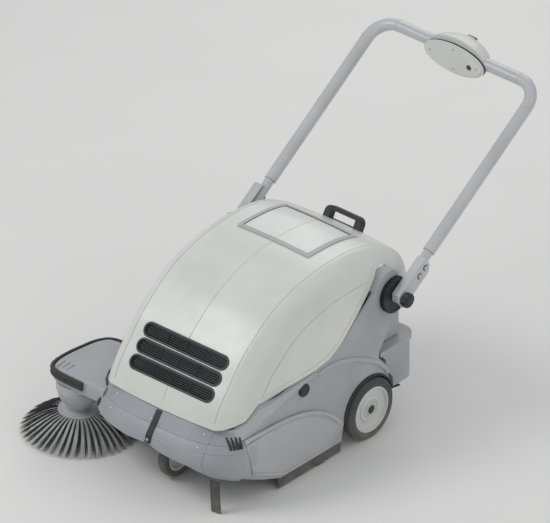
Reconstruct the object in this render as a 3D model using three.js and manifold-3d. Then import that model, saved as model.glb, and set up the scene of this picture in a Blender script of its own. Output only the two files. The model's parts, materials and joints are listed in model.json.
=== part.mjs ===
// Walk behind sweeper: a battery machine with a main broom, one side brush and a rear hopper.
// Millimetres, +Z up. The machine drives towards -Y. X = 0 is the plane between its wheels.
import * as THREE from 'three';
import { mergeVertices } from 'three/addons/utils/BufferGeometryUtils.js';
import Module from 'manifold-3d';

const wasm = await Module();
wasm.setup();

// ---- driving dimensions ----
const BODY = 242; // half width over the side panels
const WALL = 4;
const GAP = 0.4; // between pieces that touch
const FLOOR_GAP = 1.5; // under bristles and rubber

const WHEEL = { r: 83, x0: 221, x1: 255, rim: 62, bore: 10.5, sides: 36 };
const AXLE = { y: 0, z: WHEEL.r, r: 10 };
const CASTER = { r: 57, half: 14, y: -447, pivotY: -469, rim: 40, sides: 40 };

const BROOM = { y: -235, z: 126, r: 124.5, core: 38, half: 215 };
const CHAMBER = { r: 133, half: 226 };
const MOTOR = { y: -60, z: 305, r: 43 };
const PULLEY = { motor: 18, broom: 42, x0: -237, x1: -230.5 };

const SIDE_BRUSH = { x: -319, y: -452, hub: 53, r: 153, top: 68 };
const ARM = { top: 195, bottom: 150, band0: 165, band1: 190 };

const HOOD = { ridge: 165, flat: 6, drop: 240, wall: 4, focusY: -60, focusZ: 80 };
const HATCH = { half: 119, y0: -87, y1: 99, frame: 12 };
const VENT = { half: 139, reach: 20, rows: 3, pitch: 43.5, y: -438.5, z: 321.5, slope: 52 };

const BUMPER = { back: -455, wall: 5 };
const HOPPER = { narrow: 203, wide: 238, front: -83, back: 186, floor: 98.5, top: 221 };

const PIVOT = { y: 88, z: 377 };
const HANDLE = { angle: 34.2, length: 646.6, half: 262.5, r: 16, inner: 14, bend: 62, start: 138 };

// ---- solids ----
const X = new THREE.Vector3(1, 0, 0);
const Y = new THREE.Vector3(0, 1, 0);
const Z = new THREE.Vector3(0, 0, 1);

// Only positions, shared vertices merged, no empty triangles, faces outward.
function weld(geometry) {
  const bare = new THREE.BufferGeometry();
  bare.setAttribute('position', geometry.attributes.position.clone());
  if (geometry.index) bare.setIndex(geometry.index.clone());
  const merged = mergeVertices(bare, 1e-3);
  const index = [];
  const from = merged.index.array;
  for (let i = 0; i < from.length; i += 3) {
    const [a, b, c] = [from[i], from[i + 1], from[i + 2]];
    if (a !== b && b !== c && c !== a) index.push(a, b, c);
  }
  const p = merged.attributes.position;
  const at = (i) => new THREE.Vector3().fromBufferAttribute(p, i);
  let volume = 0;
  for (let i = 0; i < index.length; i += 3) {
    volume += at(index[i]).dot(at(index[i + 1]).cross(at(index[i + 2])));
  }
  if (volume < 0) index.reverse();
  merged.setIndex(index);
  return merged;
}

function toSolid(geometry) {
  const g = weld(geometry);
  return new wasm.Manifold(new wasm.Mesh({
    numProp: 3,
    vertProperties: new Float32Array(g.attributes.position.array),
    triVerts: new Uint32Array(g.index.array),
  }));
}

function fromSolid(solid) {
  const mesh = solid.getMesh();
  const g = new THREE.BufferGeometry();
  g.setAttribute('position', new THREE.BufferAttribute(new Float32Array(mesh.vertProperties), 3));
  g.setIndex(new THREE.BufferAttribute(new Uint32Array(mesh.triVerts), 1));
  return g;
}

const combine = (how) => (first, ...rest) =>
  fromSolid(rest.reduce((sum, g) => sum[how](toSolid(g)), toSolid(first)));
const join = combine('add');
const cut = combine('subtract');
const meet = combine('intersect');

function box(x0, x1, y0, y1, z0, z1) {
  const g = new THREE.BoxGeometry(x1 - x0, y1 - y0, z1 - z0);
  return g.translate((x0 + x1) / 2, (y0 + y1) / 2, (z0 + z1) / 2);
}

function outline(points) {
  return new THREE.Shape(points.map(([a, b]) => new THREE.Vector2(a, b)));
}

// Pushes each side of an outline out by a distance (corners stay sharp).
function grow(points, distance) {
  const clockwise = THREE.ShapeUtils.isClockWise(points.map(([a, b]) => new THREE.Vector2(a, b)));
  const side = clockwise ? -1 : 1;
  return points.map(([a, b], i) => {
    const before = points.at(i - 1);
    const after = points[(i + 1) % points.length];
    const d1 = new THREE.Vector2(a - before[0], b - before[1]).normalize();
    const d2 = new THREE.Vector2(after[0] - a, after[1] - b).normalize();
    const n = new THREE.Vector2(d1.y + d2.y, -d1.x - d2.x).normalize();
    const reach = (side * distance) / Math.max(0.4, n.dot(new THREE.Vector2(d1.y, -d1.x)));
    return [a + n.x * reach, b + n.y * reach];
  });
}

// Extrudes a shape drawn on two axes along their cross product, from one offset to another.
function extrude(shape, from, to, across, up, curveSegments = 12) {
  const g = new THREE.ExtrudeGeometry(shape, { depth: to - from, bevelEnabled: false, curveSegments });
  g.translate(0, 0, from);
  return g.applyMatrix4(new THREE.Matrix4().makeBasis(across, up, across.clone().cross(up)));
}
const alongX = (shape, x0, x1, segments) => extrude(shape, x0, x1, Y, Z, segments); // drawn (Y, Z)
const alongZ = (shape, z0, z1, segments) => extrude(shape, z0, z1, X, Y, segments); // drawn (X, Y)
const alongY = (shape, y0, y1, segments) => extrude(shape, -y1, -y0, X, Z, segments); // drawn (X, Z)

// Turns a profile of [radius, place along the axis]. A flat side faces down.
function turned(profile, sides, axis) {
  const points = profile.map(([r, a]) => new THREE.Vector2(r / Math.cos(Math.PI / sides), a));
  const g = new THREE.LatheGeometry(points, sides, Math.PI / sides);
  return axis === X ? g.rotateZ(-Math.PI / 2) : g.rotateX(Math.PI / 2);
}
const rod = (r, a0, a1, sides, axis) => turned([[0, a0], [r, a0], [r, a1], [0, a1]], sides, axis);
const ring = (r0, r1, a0, a1, sides, axis) =>
  turned([[r0, a0], [r1, a0], [r1, a1], [r0, a1], [r0, a0]], sides, axis);

// Skins rings of points; looped joins the last ring to the first, otherwise both ends are capped.
function loft(rings, looped = false) {
  const n = rings[0].length;
  const position = rings.flat().flatMap((p) => [p.x, p.y, p.z]);
  const index = [];
  const spans = looped ? rings.length : rings.length - 1;
  for (let i = 0; i < spans; i += 1) {
    const [a, b] = [i * n, ((i + 1) % rings.length) * n];
    for (let j = 0; j < n; j += 1) {
      const k = (j + 1) % n;
      index.push(a + j, a + k, b + k, a + j, b + k, b + j);
    }
  }
  if (!looped) {
    const last = (rings.length - 1) * n;
    for (let j = 1; j < n - 1; j += 1) {
      index.push(0, j + 1, j);
      index.push(last, last + j, last + j + 1);
    }
  }
  const g = new THREE.BufferGeometry();
  g.setAttribute('position', new THREE.Float32BufferAttribute(position, 3));
  g.setIndex(index);
  return weld(g);
}

const mirrored = (geometry) => weld(geometry.clone().scale(-1, 1, 1));

// ---- the assembly ----
const machine = new THREE.Group();

function add(name, geometry, color, roughness = 0.6, metalness = 0) {
  const mesh = new THREE.Mesh(weld(geometry), new THREE.MeshStandardMaterial({ color, roughness, metalness }));
  mesh.name = name;
  machine.add(mesh);
  return mesh;
}

function addPair(name, rightGeometry, color, roughness, metalness) {
  add(`${name}_right`, rightGeometry, color, roughness, metalness);
  add(`${name}_left`, mirrored(rightGeometry), color, roughness, metalness);
}

const SHELL = 0xdadcd8;
const GREY = 0x6f757a;
const BLACK = 0x1d1e20;
const RUBBER = 0x2a2a2b;
const STEEL = 0xb9bcc0;

// ---- body plan: rounded at the front, fuller lower down ----
// Each level is [height, front, squareness of the corners].
const PLAN_BACK = -340;
const LEVELS = [[20, -490, 2.8], [66, -500, 3], [90, -535, 3.3], [122, -552, 3.6], [140, -554, 3.6],
  [161, -547, 3.4], [181, -532, 3.2], [216, -505, 2.8], [262, -492, 2.3], [600, -492, 2.3]];

function planRing(z, front, square, half, shrink, back) {
  const points = [];
  const steps = 16;
  for (let i = 0; i <= steps; i += 1) {
    const t = Math.PI * (i / steps);
    const reach = PLAN_BACK - front - shrink;
    const x = -half * Math.sign(Math.cos(t)) * Math.abs(Math.cos(t)) ** (2 / square);
    const y = PLAN_BACK - reach * Math.abs(Math.sin(t)) ** (2 / square);
    points.push(new THREE.Vector3(x, y, z));
  }
  points.push(new THREE.Vector3(half, back, z), new THREE.Vector3(-half, back, z));
  return points;
}

function bodyPlan(half, shrink, low, high, back) {
  const kept = LEVELS.filter(([z]) => z >= low && z <= high);
  return loft(kept.map(([z, front, square]) => planRing(z, front, square, half, shrink, back)));
}

// ---- hood ----
const ARCH = [[-512, 200], [-480, 267], [-440, 320], [-398, 372], [-351, 413], [-300, 450], [-238, 480],
  [-162, 501], [-87, 511], [-20, 511], [40, 505], [95, 490], [155, 458], [185, 437], [204, 412],
  [211, 385], [213, 340]];
const archCurve = new THREE.CatmullRomCurve3(
  ARCH.map(([y, z]) => new THREE.Vector3(0, y, z)), false, 'centripetal');

// A closed slab that follows the hood between two heights above its outer face.
function hoodSlab(outside, inside) {
  const stations = 20;
  const across = 3;
  const corner = 5;
  const rings = [];
  for (let i = 0; i <= stations; i += 1) {
    const p = archCurve.getPoint(i / stations);
    const out = new THREE.Vector3(0, p.y - HOOD.focusY, p.z - HOOD.focusZ).normalize();
    const edge = (offset) => {
      const side = [];
      for (let k = 0; k < across; k += 1) {
        const x = (HOOD.ridge * k) / across;
        side.push([x, HOOD.flat * (x / HOOD.ridge) ** 2]);
      }
      for (let k = 0; k <= corner; k += 1) {
        const turn = (Math.PI / 2) * (k / corner);
        side.push([HOOD.ridge + (BODY + offset - HOOD.ridge) * Math.sin(turn),
          HOOD.flat + HOOD.drop * (1 - Math.cos(turn))]);
      }
      const half = side.map(([x, d]) => p.clone().addScaledVector(out, offset - d).setX(x));
      const other = half.slice(1).reverse().map((v) => v.clone().setX(-v.x));
      return [...other, ...half];
    };
    rings.push([...edge(outside), ...edge(inside).reverse()]);
  }
  return loftStrip(rings);
}

// Like loft, with ends closed as strips between the outer and the inner edge of a slab.
function loftStrip(rings) {
  const n = rings[0].length;
  const position = rings.flat().flatMap((p) => [p.x, p.y, p.z]);
  const index = [];
  for (let i = 0; i < rings.length - 1; i += 1) {
    for (let j = 0; j < n; j += 1) {
      const k = (j + 1) % n;
      const [a, b] = [i * n, (i + 1) * n];
      index.push(a + j, a + k, b + k, a + j, b + k, b + j);
    }
  }
  const last = (rings.length - 1) * n;
  for (let j = 0; j < n / 2 - 1; j += 1) {
    const m = n - 1 - j;
    index.push(j, m, m - 1, j, m - 1, j + 1);
    index.push(last + j, last + m - 1, last + m, last + j, last + j + 1, last + m - 1);
  }
  const g = new THREE.BufferGeometry();
  g.setAttribute('position', new THREE.Float32BufferAttribute(position, 3));
  g.setIndex(index);
  return weld(g);
}

// The seam between hood and base, seen from the side, with the round top over the pivot.
const SEAM = [[-640, 197], [-505, 216], [-431, 231], [-390, 262], [-300, 276], [-201, 283], [-148, 292],
  [-109, 312], [50, 433], [58, 442], [72, 446], [88, 446], [100, 440], [110, 425], [113, 400], [114, 352]];
const hoodTrim = outline(grow([...SEAM, [260, 352], [260, 0], [-640, 0]], GAP * 3));

const slope = THREE.MathUtils.degToRad(VENT.slope);
const ventUp = new THREE.Vector3(0, Math.cos(slope), Math.sin(slope));
const ventOut = new THREE.Vector3(0, -Math.sin(slope), Math.cos(slope));
function ventPill(row, grown, from = -30, to = 30) {
  const r = VENT.reach + grown;
  const x = VENT.half - VENT.reach;
  const pill = new THREE.Shape();
  pill.absarc(x, 0, r, -Math.PI / 2, Math.PI / 2, false);
  pill.absarc(-x, 0, r, Math.PI / 2, -Math.PI / 2, false);
  return placeVent(extrude(pill, from, to, X, Y, 6), row);
}
function placeVent(geometry, row) {
  geometry.applyMatrix4(new THREE.Matrix4().makeBasis(X, ventUp, ventOut));
  const middle = new THREE.Vector3(0, VENT.y, VENT.z).addScaledVector(ventUp, row * VENT.pitch);
  return geometry.translate(...middle.toArray());
}
function hatchPrism(inset) {
  const h = HATCH.half - inset;
  const corner = Math.max(3, 10 - inset);
  const [y0, y1] = [HATCH.y0 + inset, HATCH.y1 - inset];
  const s = new THREE.Shape();
  s.absarc(h - corner, y1 - corner, corner, 0, Math.PI / 2, false);
  s.absarc(-h + corner, y1 - corner, corner, Math.PI / 2, Math.PI, false);
  s.absarc(-h + corner, y0 + corner, corner, Math.PI, 1.5 * Math.PI, false);
  s.absarc(h - corner, y0 + corner, corner, 1.5 * Math.PI, 2 * Math.PI, false);
  return alongZ(s, 440, 560, 4);
}

function buildHood() {
  const rows = [-1, 0, 1];
  const holes = rows.map((row) => ventPill(row, GAP));
  const trim = alongX(hoodTrim, -400, 400);
  add('hood_shell', cut(hoodSlab(0, -HOOD.wall), trim, hatchPrism(-GAP), ...holes), SHELL, 0.45);
  rows.forEach((row) => {
    const slots = [-1.5, -0.5, 0.5, 1.5].flatMap((k) => [-1, 1].map((side) => {
      const slot = new THREE.BoxGeometry(VENT.half - 20, 5, 60);
      slot.translate(side * (VENT.half / 2 - 6), k * 8.6, 0);
      return placeVent(slot, row);
    }));
    const name = ['lower', 'middle', 'upper'][row + 1];
    add(`vent_grille_${name}`, cut(meet(hoodSlab(1.5, -6), ventPill(row, 0)), ...slots), BLACK);
  });
  add('hatch_frame', cut(meet(hoodSlab(2, -7), hatchPrism(0)), hatchPrism(HATCH.frame)), BLACK);
  add('hatch_lid', meet(hoodSlab(0.5, -4), hatchPrism(HATCH.frame + GAP)), SHELL, 0.45);

  const grip = new THREE.Shape();
  grip.moveTo(-59, -8);
  grip.lineTo(59, -8);
  grip.lineTo(59, 8);
  grip.absarc(41, 16, 18, 0, Math.PI / 2, false);
  grip.absarc(-41, 16, 18, Math.PI / 2, Math.PI, false);
  const slot = new THREE.Path();
  slot.moveTo(-40, 3);
  slot.lineTo(-40, 23);
  slot.lineTo(40, 23);
  slot.lineTo(40, 3);
  grip.holes.push(slot);
  const bar = alongY(grip, -11, 11, 6);
  bar.rotateX(THREE.MathUtils.degToRad(-30));
  bar.translate(0, 178, 441);
  add('rear_grip', cut(bar, hoodSlab(GAP, -60)), BLACK);
}

// ---- base ----
const BASE_SIDE = [[BUMPER.back, 222], [-431, 230], ...SEAM.slice(3), [107, 338], [62, 258], [40, 229],
  [39, 211], [65, 181], [67, 158], [100, 98], [124, 98], [124, 94.5], [-88, 94.5], [-97, 66], [-102, 33],
  [-330, 33], [BUMPER.back, 78]];

// The loop of a belt round two pulleys, grown by a distance.
function beltLoop(grown) {
  const big = new THREE.Vector2(BROOM.y, BROOM.z);
  const small = new THREE.Vector2(MOTOR.y, MOTOR.z);
  const line = small.clone().sub(big);
  const lean = Math.asin((PULLEY.broom - PULLEY.motor) / line.length());
  const way = line.angle();
  const open = Math.PI / 2 + lean;
  const loop = new THREE.Shape();
  loop.absarc(small.x, small.y, PULLEY.motor + grown, way - open + 2 * lean, way + open - 2 * lean, false);
  loop.absarc(big.x, big.y, PULLEY.broom + grown, way + open - 2 * lean, way - open + 2 * lean + 2 * Math.PI);
  return loop;
}

function buildBase() {
  const side = alongX(outline(BASE_SIDE), -BODY, BODY);
  const column = box(-212, 212, 0, 148, 224, 360);
  const body = join(meet(side, bodyPlan(BODY, -0.5, 20, 600, 300)), column);

  const inner = BODY - 6;
  const upper = outline([[-370, 266], [-92, 266], [-88, 232], [20, 232], [20, 600], [-500, 600], [-500, 266]]);
  const front = outline([[-451, 0], [-451, 217], [-431, 224], [-392, 255], [-376, 262], [-376, 0]]);
  const wheelWell = rod(WHEEL.r + 10, 214, 300, 48, X);
  wheelWell.translate(0, AXLE.y, WHEEL.r);
  const chamber = rod(CHAMBER.r, -CHAMBER.half, CHAMBER.half, 40, X);
  chamber.translate(0, BROOM.y, BROOM.z);
  const shaftHoles = rod(8.6, -234.5, 234.5, 20, X);
  shaftHoles.translate(0, BROOM.y, BROOM.z);
  const axleHole = rod(AXLE.r + GAP, -300, 300, 24, X);
  axleHole.translate(0, AXLE.y, AXLE.z);
  add('base_shell', cut(body,
    meet(alongX(upper, -inner, inner), bodyPlan(inner, 6, 181, 600, 300)),
    box(-210, 210, 15, 144, 232, 600),
    meet(alongX(front, -inner, inner), bodyPlan(inner, 6, 20, 600, 300)),
    chamber,
    box(-CHAMBER.half, CHAMBER.half, BROOM.y - CHAMBER.r, -102, 0, BROOM.z),
    box(-195, 195, -140, -80, 142, 215),
    box(-208, 208, -88, 300, 97.8, 225),
    box(-300, 300, 97, 300, 90, 224 - GAP),
    box(-150, 150, -60, 12, 220, 240),
    wheelWell, mirrored(wheelWell), shaftHoles, axleHole,
    box(212, 300, 75, 140, 60, 135), box(-300, -212, 75, 140, 60, 135),
    alongX(beltLoop(8), -238, -229.4),
    box(-76, 76, -460, -398, 129, 136),
    box(-92, 92, -460, -440, 0, 129.5),
  ), GREY);
}

function buildPanels() {
  const cover = [[-452, 190], [-390, 199], [-317, 201], [-230, 184], [-175, 158], [-110, 100], [-104, 78],
    [-157, 36], [-320, 36], [-428, 82]];
  const clear = GAP + 0.2;
  const plate = alongX(outline(cover), BODY + clear, BODY + 4.5);
  const rim = cut(alongX(outline(cover), BODY + clear, BODY + 7.5), alongX(outline(grow(cover, -11)), 0, 400));
  const plan = cut(box(0, 400, -600, 0, 0, 300), bodyPlan(BODY + clear - 0.3, -0.8, 20, 262, 300));
  const whole = meet(join(plate, rim), plan);
  add('side_cover_right', whole, GREY, 0.5);
  add('side_cover_left', cut(mirrored(whole), box(-300, 0, -500, -296, ARM.bottom - 4, 300)), GREY, 0.5);
  add('side_skirt_right', box(237.5, 241.5, -338, -104, 5, 32.5), RUBBER, 0.9);
  add('side_skirt_left', box(-241.5, -237.5, -312, -104, 5, 32.5), RUBBER, 0.9);

  const lip = new THREE.Shape();
  const [r0, r1] = [WHEEL.r + 5, WHEEL.r + 9.4];
  const front = THREE.MathUtils.degToRad(176);
  const back = THREE.MathUtils.degToRad(12);
  lip.absarc(0, WHEEL.r, r1, back, front, false);
  lip.absarc(0, WHEEL.r, r0, front, back, true);
  const tail = outline([[84, 104], [96, 97.5], [124, 94], [124, 90], [84, 98]]);
  const strip = join(alongX(lip, 215, 246.5, 24), alongX(tail, 215, 239));
  addPair('fender_lip', strip, BLACK, 0.8);
}

function buildBumper() {
  const low = [[-300, 150], [-200, 146], [-65, 133], [0, 138], [34, 127], [125, 118], [170, 95], [200, 74],
    [300, 66], [300, 0], [-300, 0]];
  const outside = bodyPlan(BODY + 2, 0, 66, 216, BUMPER.back + 60);
  const inside = bodyPlan(BODY + 2 - BUMPER.wall, BUMPER.wall, 20, 262, 300);
  const cavity = meet(inside, box(-400, 400, -700, 100, 0, 211));
  const back = box(-400, 400, BUMPER.back - GAP, 300, 0, 400);
  const trim = alongX(hoodTrim, -400, 400).translate(0, 0, -2.5);
  const belly = alongY(outline(low), -700, 0);
  add('front_bumper', meet(cut(outside, cavity, back, belly), trim), GREY, 0.55);
  const strapRing = cut(bodyPlan(BODY + 2, -3.5, 122, 216, 0), bodyPlan(BODY + 2, -0.4, 66, 262, 0));
  add('bumper_strap', meet(strapRing, box(-9, 9, -700, -400, 141, 214)), BLACK, 0.6);
  const strap = box(-14, 14, -1.5, 1.5, 0, 84);
  strap.rotateZ(0.15);
  strap.applyMatrix4(new THREE.Matrix4().makeShear(0, 0, 0, 0, -0.12, 0.06));
  strap.translate(196, -519, FLOOR_GAP);
  add('drag_strap', strap, RUBBER, 0.9);
  add('rear_flap', box(-205, 205, -96.4, -93.4, 3, 64), RUBBER, 0.9);
}

// ---- drive and inside ----
function buildInside() {
  const at = (g, y, z) => g.translate(0, y, z);
  add('broom_core', at(turned([[0, -234], [8, -234], [8, -219], [BROOM.core, -219], [BROOM.core, 219],
    [8, 219], [8, 234], [0, 234]], 32, X), BROOM.y, BROOM.z), STEEL, 0.5);
  add('broom_bristles', at(ring(BROOM.core + GAP, BROOM.r, -BROOM.half, BROOM.half, 32, X),
    BROOM.y, BROOM.z), BLACK, 0.9);
  add('broom_pulley', at(rod(PULLEY.broom, PULLEY.x0, -234.4, 32, X), BROOM.y, BROOM.z), STEEL, 0.4, 1);
  add('motor_pulley', at(rod(PULLEY.motor, PULLEY.x0, PULLEY.x1, 24, X), MOTOR.y, MOTOR.z), STEEL, 0.4, 1);
  const belt = cut(alongX(beltLoop(3.6), -236.8, -234.6, 9), alongX(beltLoop(0.8), -250, 0, 9));
  add('drive_belt', belt, RUBBER, 0.9);
  add('broom_motor', at(rod(MOTOR.r, -225, -50, 24, X), MOTOR.y, MOTOR.z), BLACK, 0.5);
  add('battery_pack', box(-180, 180, -335, -165, 267, 378), BLACK, 0.6);
  add('vacuum_fan', rod(60, 267, 335, 24, Z).translate(100, -15, 0), GREY, 0.6);
  add('dust_filter', box(-148, 148, -58, 10, 226, 258), SHELL, 0.9);
  add('wheel_axle', at(rod(AXLE.r, -250, 250, 24, X), AXLE.y, AXLE.z), STEEL, 0.35, 1);
}

// ---- wheels ----
function buildWheels() {
  const w = WHEEL;
  const tyre = turned([[w.rim, w.x0 + 3], [w.r - 8, w.x0], [w.r, w.x0 + 7], [w.r, w.x1 - 7], [w.r - 8, w.x1],
    [w.rim, w.x1 - 2], [w.rim, w.x0 + 3]], w.sides, X);
  const rim = turned([[w.bore, w.x0], [34, w.x0], [36, 232], [w.rim - GAP, 232], [w.rim - GAP, w.x1 - 3],
    [w.rim - 5, w.x1 - 3], [w.rim - 8, 241], [36, 241], [33, w.x1 - 2], [w.bore, w.x1 - 2],
    [w.bore, w.x0]], w.sides, X);
  for (const [name, g, color] of [['tyre', tyre, RUBBER], ['rim', rim, SHELL]]) {
    addPair(`rear_${name}`, g.translate(0, AXLE.y, w.r), color, 0.7);
  }
  const c = CASTER;
  const casterTyre = turned([[c.rim, -c.half + 1], [c.r - 6, -c.half], [c.r, -c.half + 5], [c.r, c.half - 5],
    [c.r - 6, c.half], [c.rim, c.half - 1], [c.rim, -c.half + 1]], c.sides, X);
  add('caster_tyre', casterTyre.translate(0, c.y, c.r), RUBBER, 0.8);
  const casterRim = turned([[5.5, -15], [14, -15], [14, -6], [c.rim - GAP, -6], [c.rim - GAP, 6], [14, 6],
    [14, 15], [5.5, 15], [5.5, -15]], 28, X);
  add('caster_rim', casterRim.translate(0, c.y, c.r), SHELL, 0.6);
  const cheek = new THREE.Shape();
  cheek.moveTo(c.pivotY - 28, 117);
  cheek.absarc(c.y, c.r, 12, -2.4, 0.3, false);
  cheek.lineTo(c.pivotY + 34, 117);
  cheek.lineTo(c.pivotY + 34, 120);
  cheek.lineTo(c.pivotY - 28, 120);
  const pin = rod(5, -18.5, 18.5, 16, X).translate(0, c.y, c.r);
  const crown = rod(32, 117, 127, 28, Z).translate(0, c.pivotY, 0);
  const stem = rod(9, 120, 142, 20, Z).translate(0, c.pivotY, 0);
  const legs = [[-20.5, -17], [17, 20.5]].map(([x0, x1]) => alongX(cheek, x0, x1, 8));
  add('caster_fork', join(crown, stem, ...legs, pin), STEEL, 0.4, 1);
  const hole = rod(9 + GAP, 100, 150, 20, Z).translate(0, c.pivotY, 0);
  add('caster_mount', cut(box(-75, 75, -528, -400, 129.5, 135.5), hole), STEEL, 0.4, 1);
}

// ---- side brush on its arm ----
const ARM_PLAN = [[-225, -300], [-350, -302], [-378, -422], [-376, -482], [-361, -499], [-300, -502],
  [-212, -507], [-195, -490], [-195, -440], [-225, -400]];

function buildSideBrush() {
  const keepOff = bodyPlan(BODY + 8, -6, 20, 600, 300);
  const shell = cut(alongZ(outline(ARM_PLAN), ARM.bottom, ARM.top), keepOff);
  const hollow = cut(alongZ(outline(grow(ARM_PLAN, -5)), 0, ARM.top - 5), bodyPlan(BODY + 13, -11, 20, 600, 300));
  add('side_brush_arm', cut(shell, hollow), SHELL, 0.5);
  const band = cut(alongZ(outline(grow(ARM_PLAN, 9)), ARM.band0, ARM.band1),
    alongZ(outline(grow(ARM_PLAN, GAP)), 0, 400), box(-252, 0, -600, 0, 0, 400), box(-600, 0, -303, 0, 0, 400));
  add('arm_bumper', band, RUBBER, 0.9);
  const gasket = meet(cut(bodyPlan(BODY + 5.6, -3.6, 90, 262, 300), bodyPlan(BODY + 3, -1, 66, 262, 300)),
    box(-400, -196, -600, -300, 152, 200));
  add('arm_gasket', gasket, RUBBER, 0.9);
  const motor = turned([[0, 80], [30, 80], [37, 84], [50, 100], [58, 127], [58, 149.5], [40, 149.5],
    [40, 186], [0, 186]], 32, Z);
  add('side_brush_motor', cut(motor.translate(SIDE_BRUSH.x, SIDE_BRUSH.y, 0),
    box(-261.5, 0, -600, 0, 150 - GAP, 400)), BLACK, 0.6);
  const s = SIDE_BRUSH;
  const hub = turned([[0, 60], [s.hub, 60], [s.hub, s.top], [24, s.top + 8], [24, 79], [0, 79]], 32, Z);
  add('side_brush_hub', hub.translate(s.x, s.y, 0), BLACK, 0.6);
  const tufts = turned([[18, 59.6], [s.hub - 2, 59.6], [s.r, FLOOR_GAP + 3], [s.r - 3, FLOOR_GAP],
    [s.hub - 6, 50], [18, 50], [18, 59.6]], 40, Z);
  add('side_brush_bristles', tufts.translate(s.x, s.y, 0), BLACK, 0.9);
  const lever = join(box(-404, -378.4, -452, -446, 157, 161),
    new THREE.SphereGeometry(6, 12, 8).translate(-406, -449, 159));
  add('arm_adjust_pin', lever.translate(0, 0, 1), BLACK, 0.6);
}

// ---- rear hopper ----
function buildHopper() {
  const h = HOPPER;
  const sideView = [[99, 100], [168, 100], [177, 112], [h.back, 200], [h.back, h.top], [47, h.top], [47, 214],
    [70, 190], [71, 163], [97, 128]];
  const rounded = (half, back) => {
    const corner = 41;
    const s = new THREE.Shape();
    s.moveTo(-half, -200);
    s.lineTo(half, -200);
    s.absarc(half - corner, back - corner, corner, 0, Math.PI / 2, false);
    s.absarc(-half + corner, back - corner, corner, Math.PI / 2, Math.PI, false);
    return alongZ(s, 0, 400, 6);
  };
  const wide = meet(alongX(outline(sideView), -h.wide, h.wide), rounded(h.wide, h.back));
  const narrow = box(-h.narrow, h.narrow, h.front, 110, h.floor, h.top);
  const room = meet(alongX(outline(grow(sideView, -WALL)), -h.wide, h.wide), rounded(h.wide - WALL, h.back - WALL));
  const rimBand = cut(meet(rounded(h.wide + 3.5, h.back + 3.5), box(-400, 400, 46, 300, 209, h.top)),
    rounded(h.wide - 1, h.back - 1));
  const bin = cut(join(wide, narrow, rimBand), room,
    box(-h.narrow + WALL, h.narrow - WALL, h.front + WALL, 112, h.floor + WALL, 300),
    box(-h.narrow + WALL, h.narrow - WALL, h.front - 5, h.front + WALL + 1, 145, 300));
  add('hopper_bin', bin, GREY, 0.6);
  const bar = new THREE.Shape();
  const [reach, depth] = [34, 10];
  bar.moveTo(-62, 0);
  bar.lineTo(-62, reach);
  bar.lineTo(62, reach);
  bar.lineTo(62, 0);
  bar.lineTo(52, 0);
  bar.lineTo(52, reach - depth);
  bar.lineTo(-52, reach - depth);
  bar.lineTo(-52, 0);
  const handle = alongZ(bar, 168, 184).translate(0, 178, 0);
  const keep = alongX(outline(grow([[0, 60], ...sideView.slice(1, 4), [h.back, 230], [0, 230]], GAP)), -90, 90);
  add('hopper_handle', cut(handle, keep), BLACK, 0.6);
}

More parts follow.
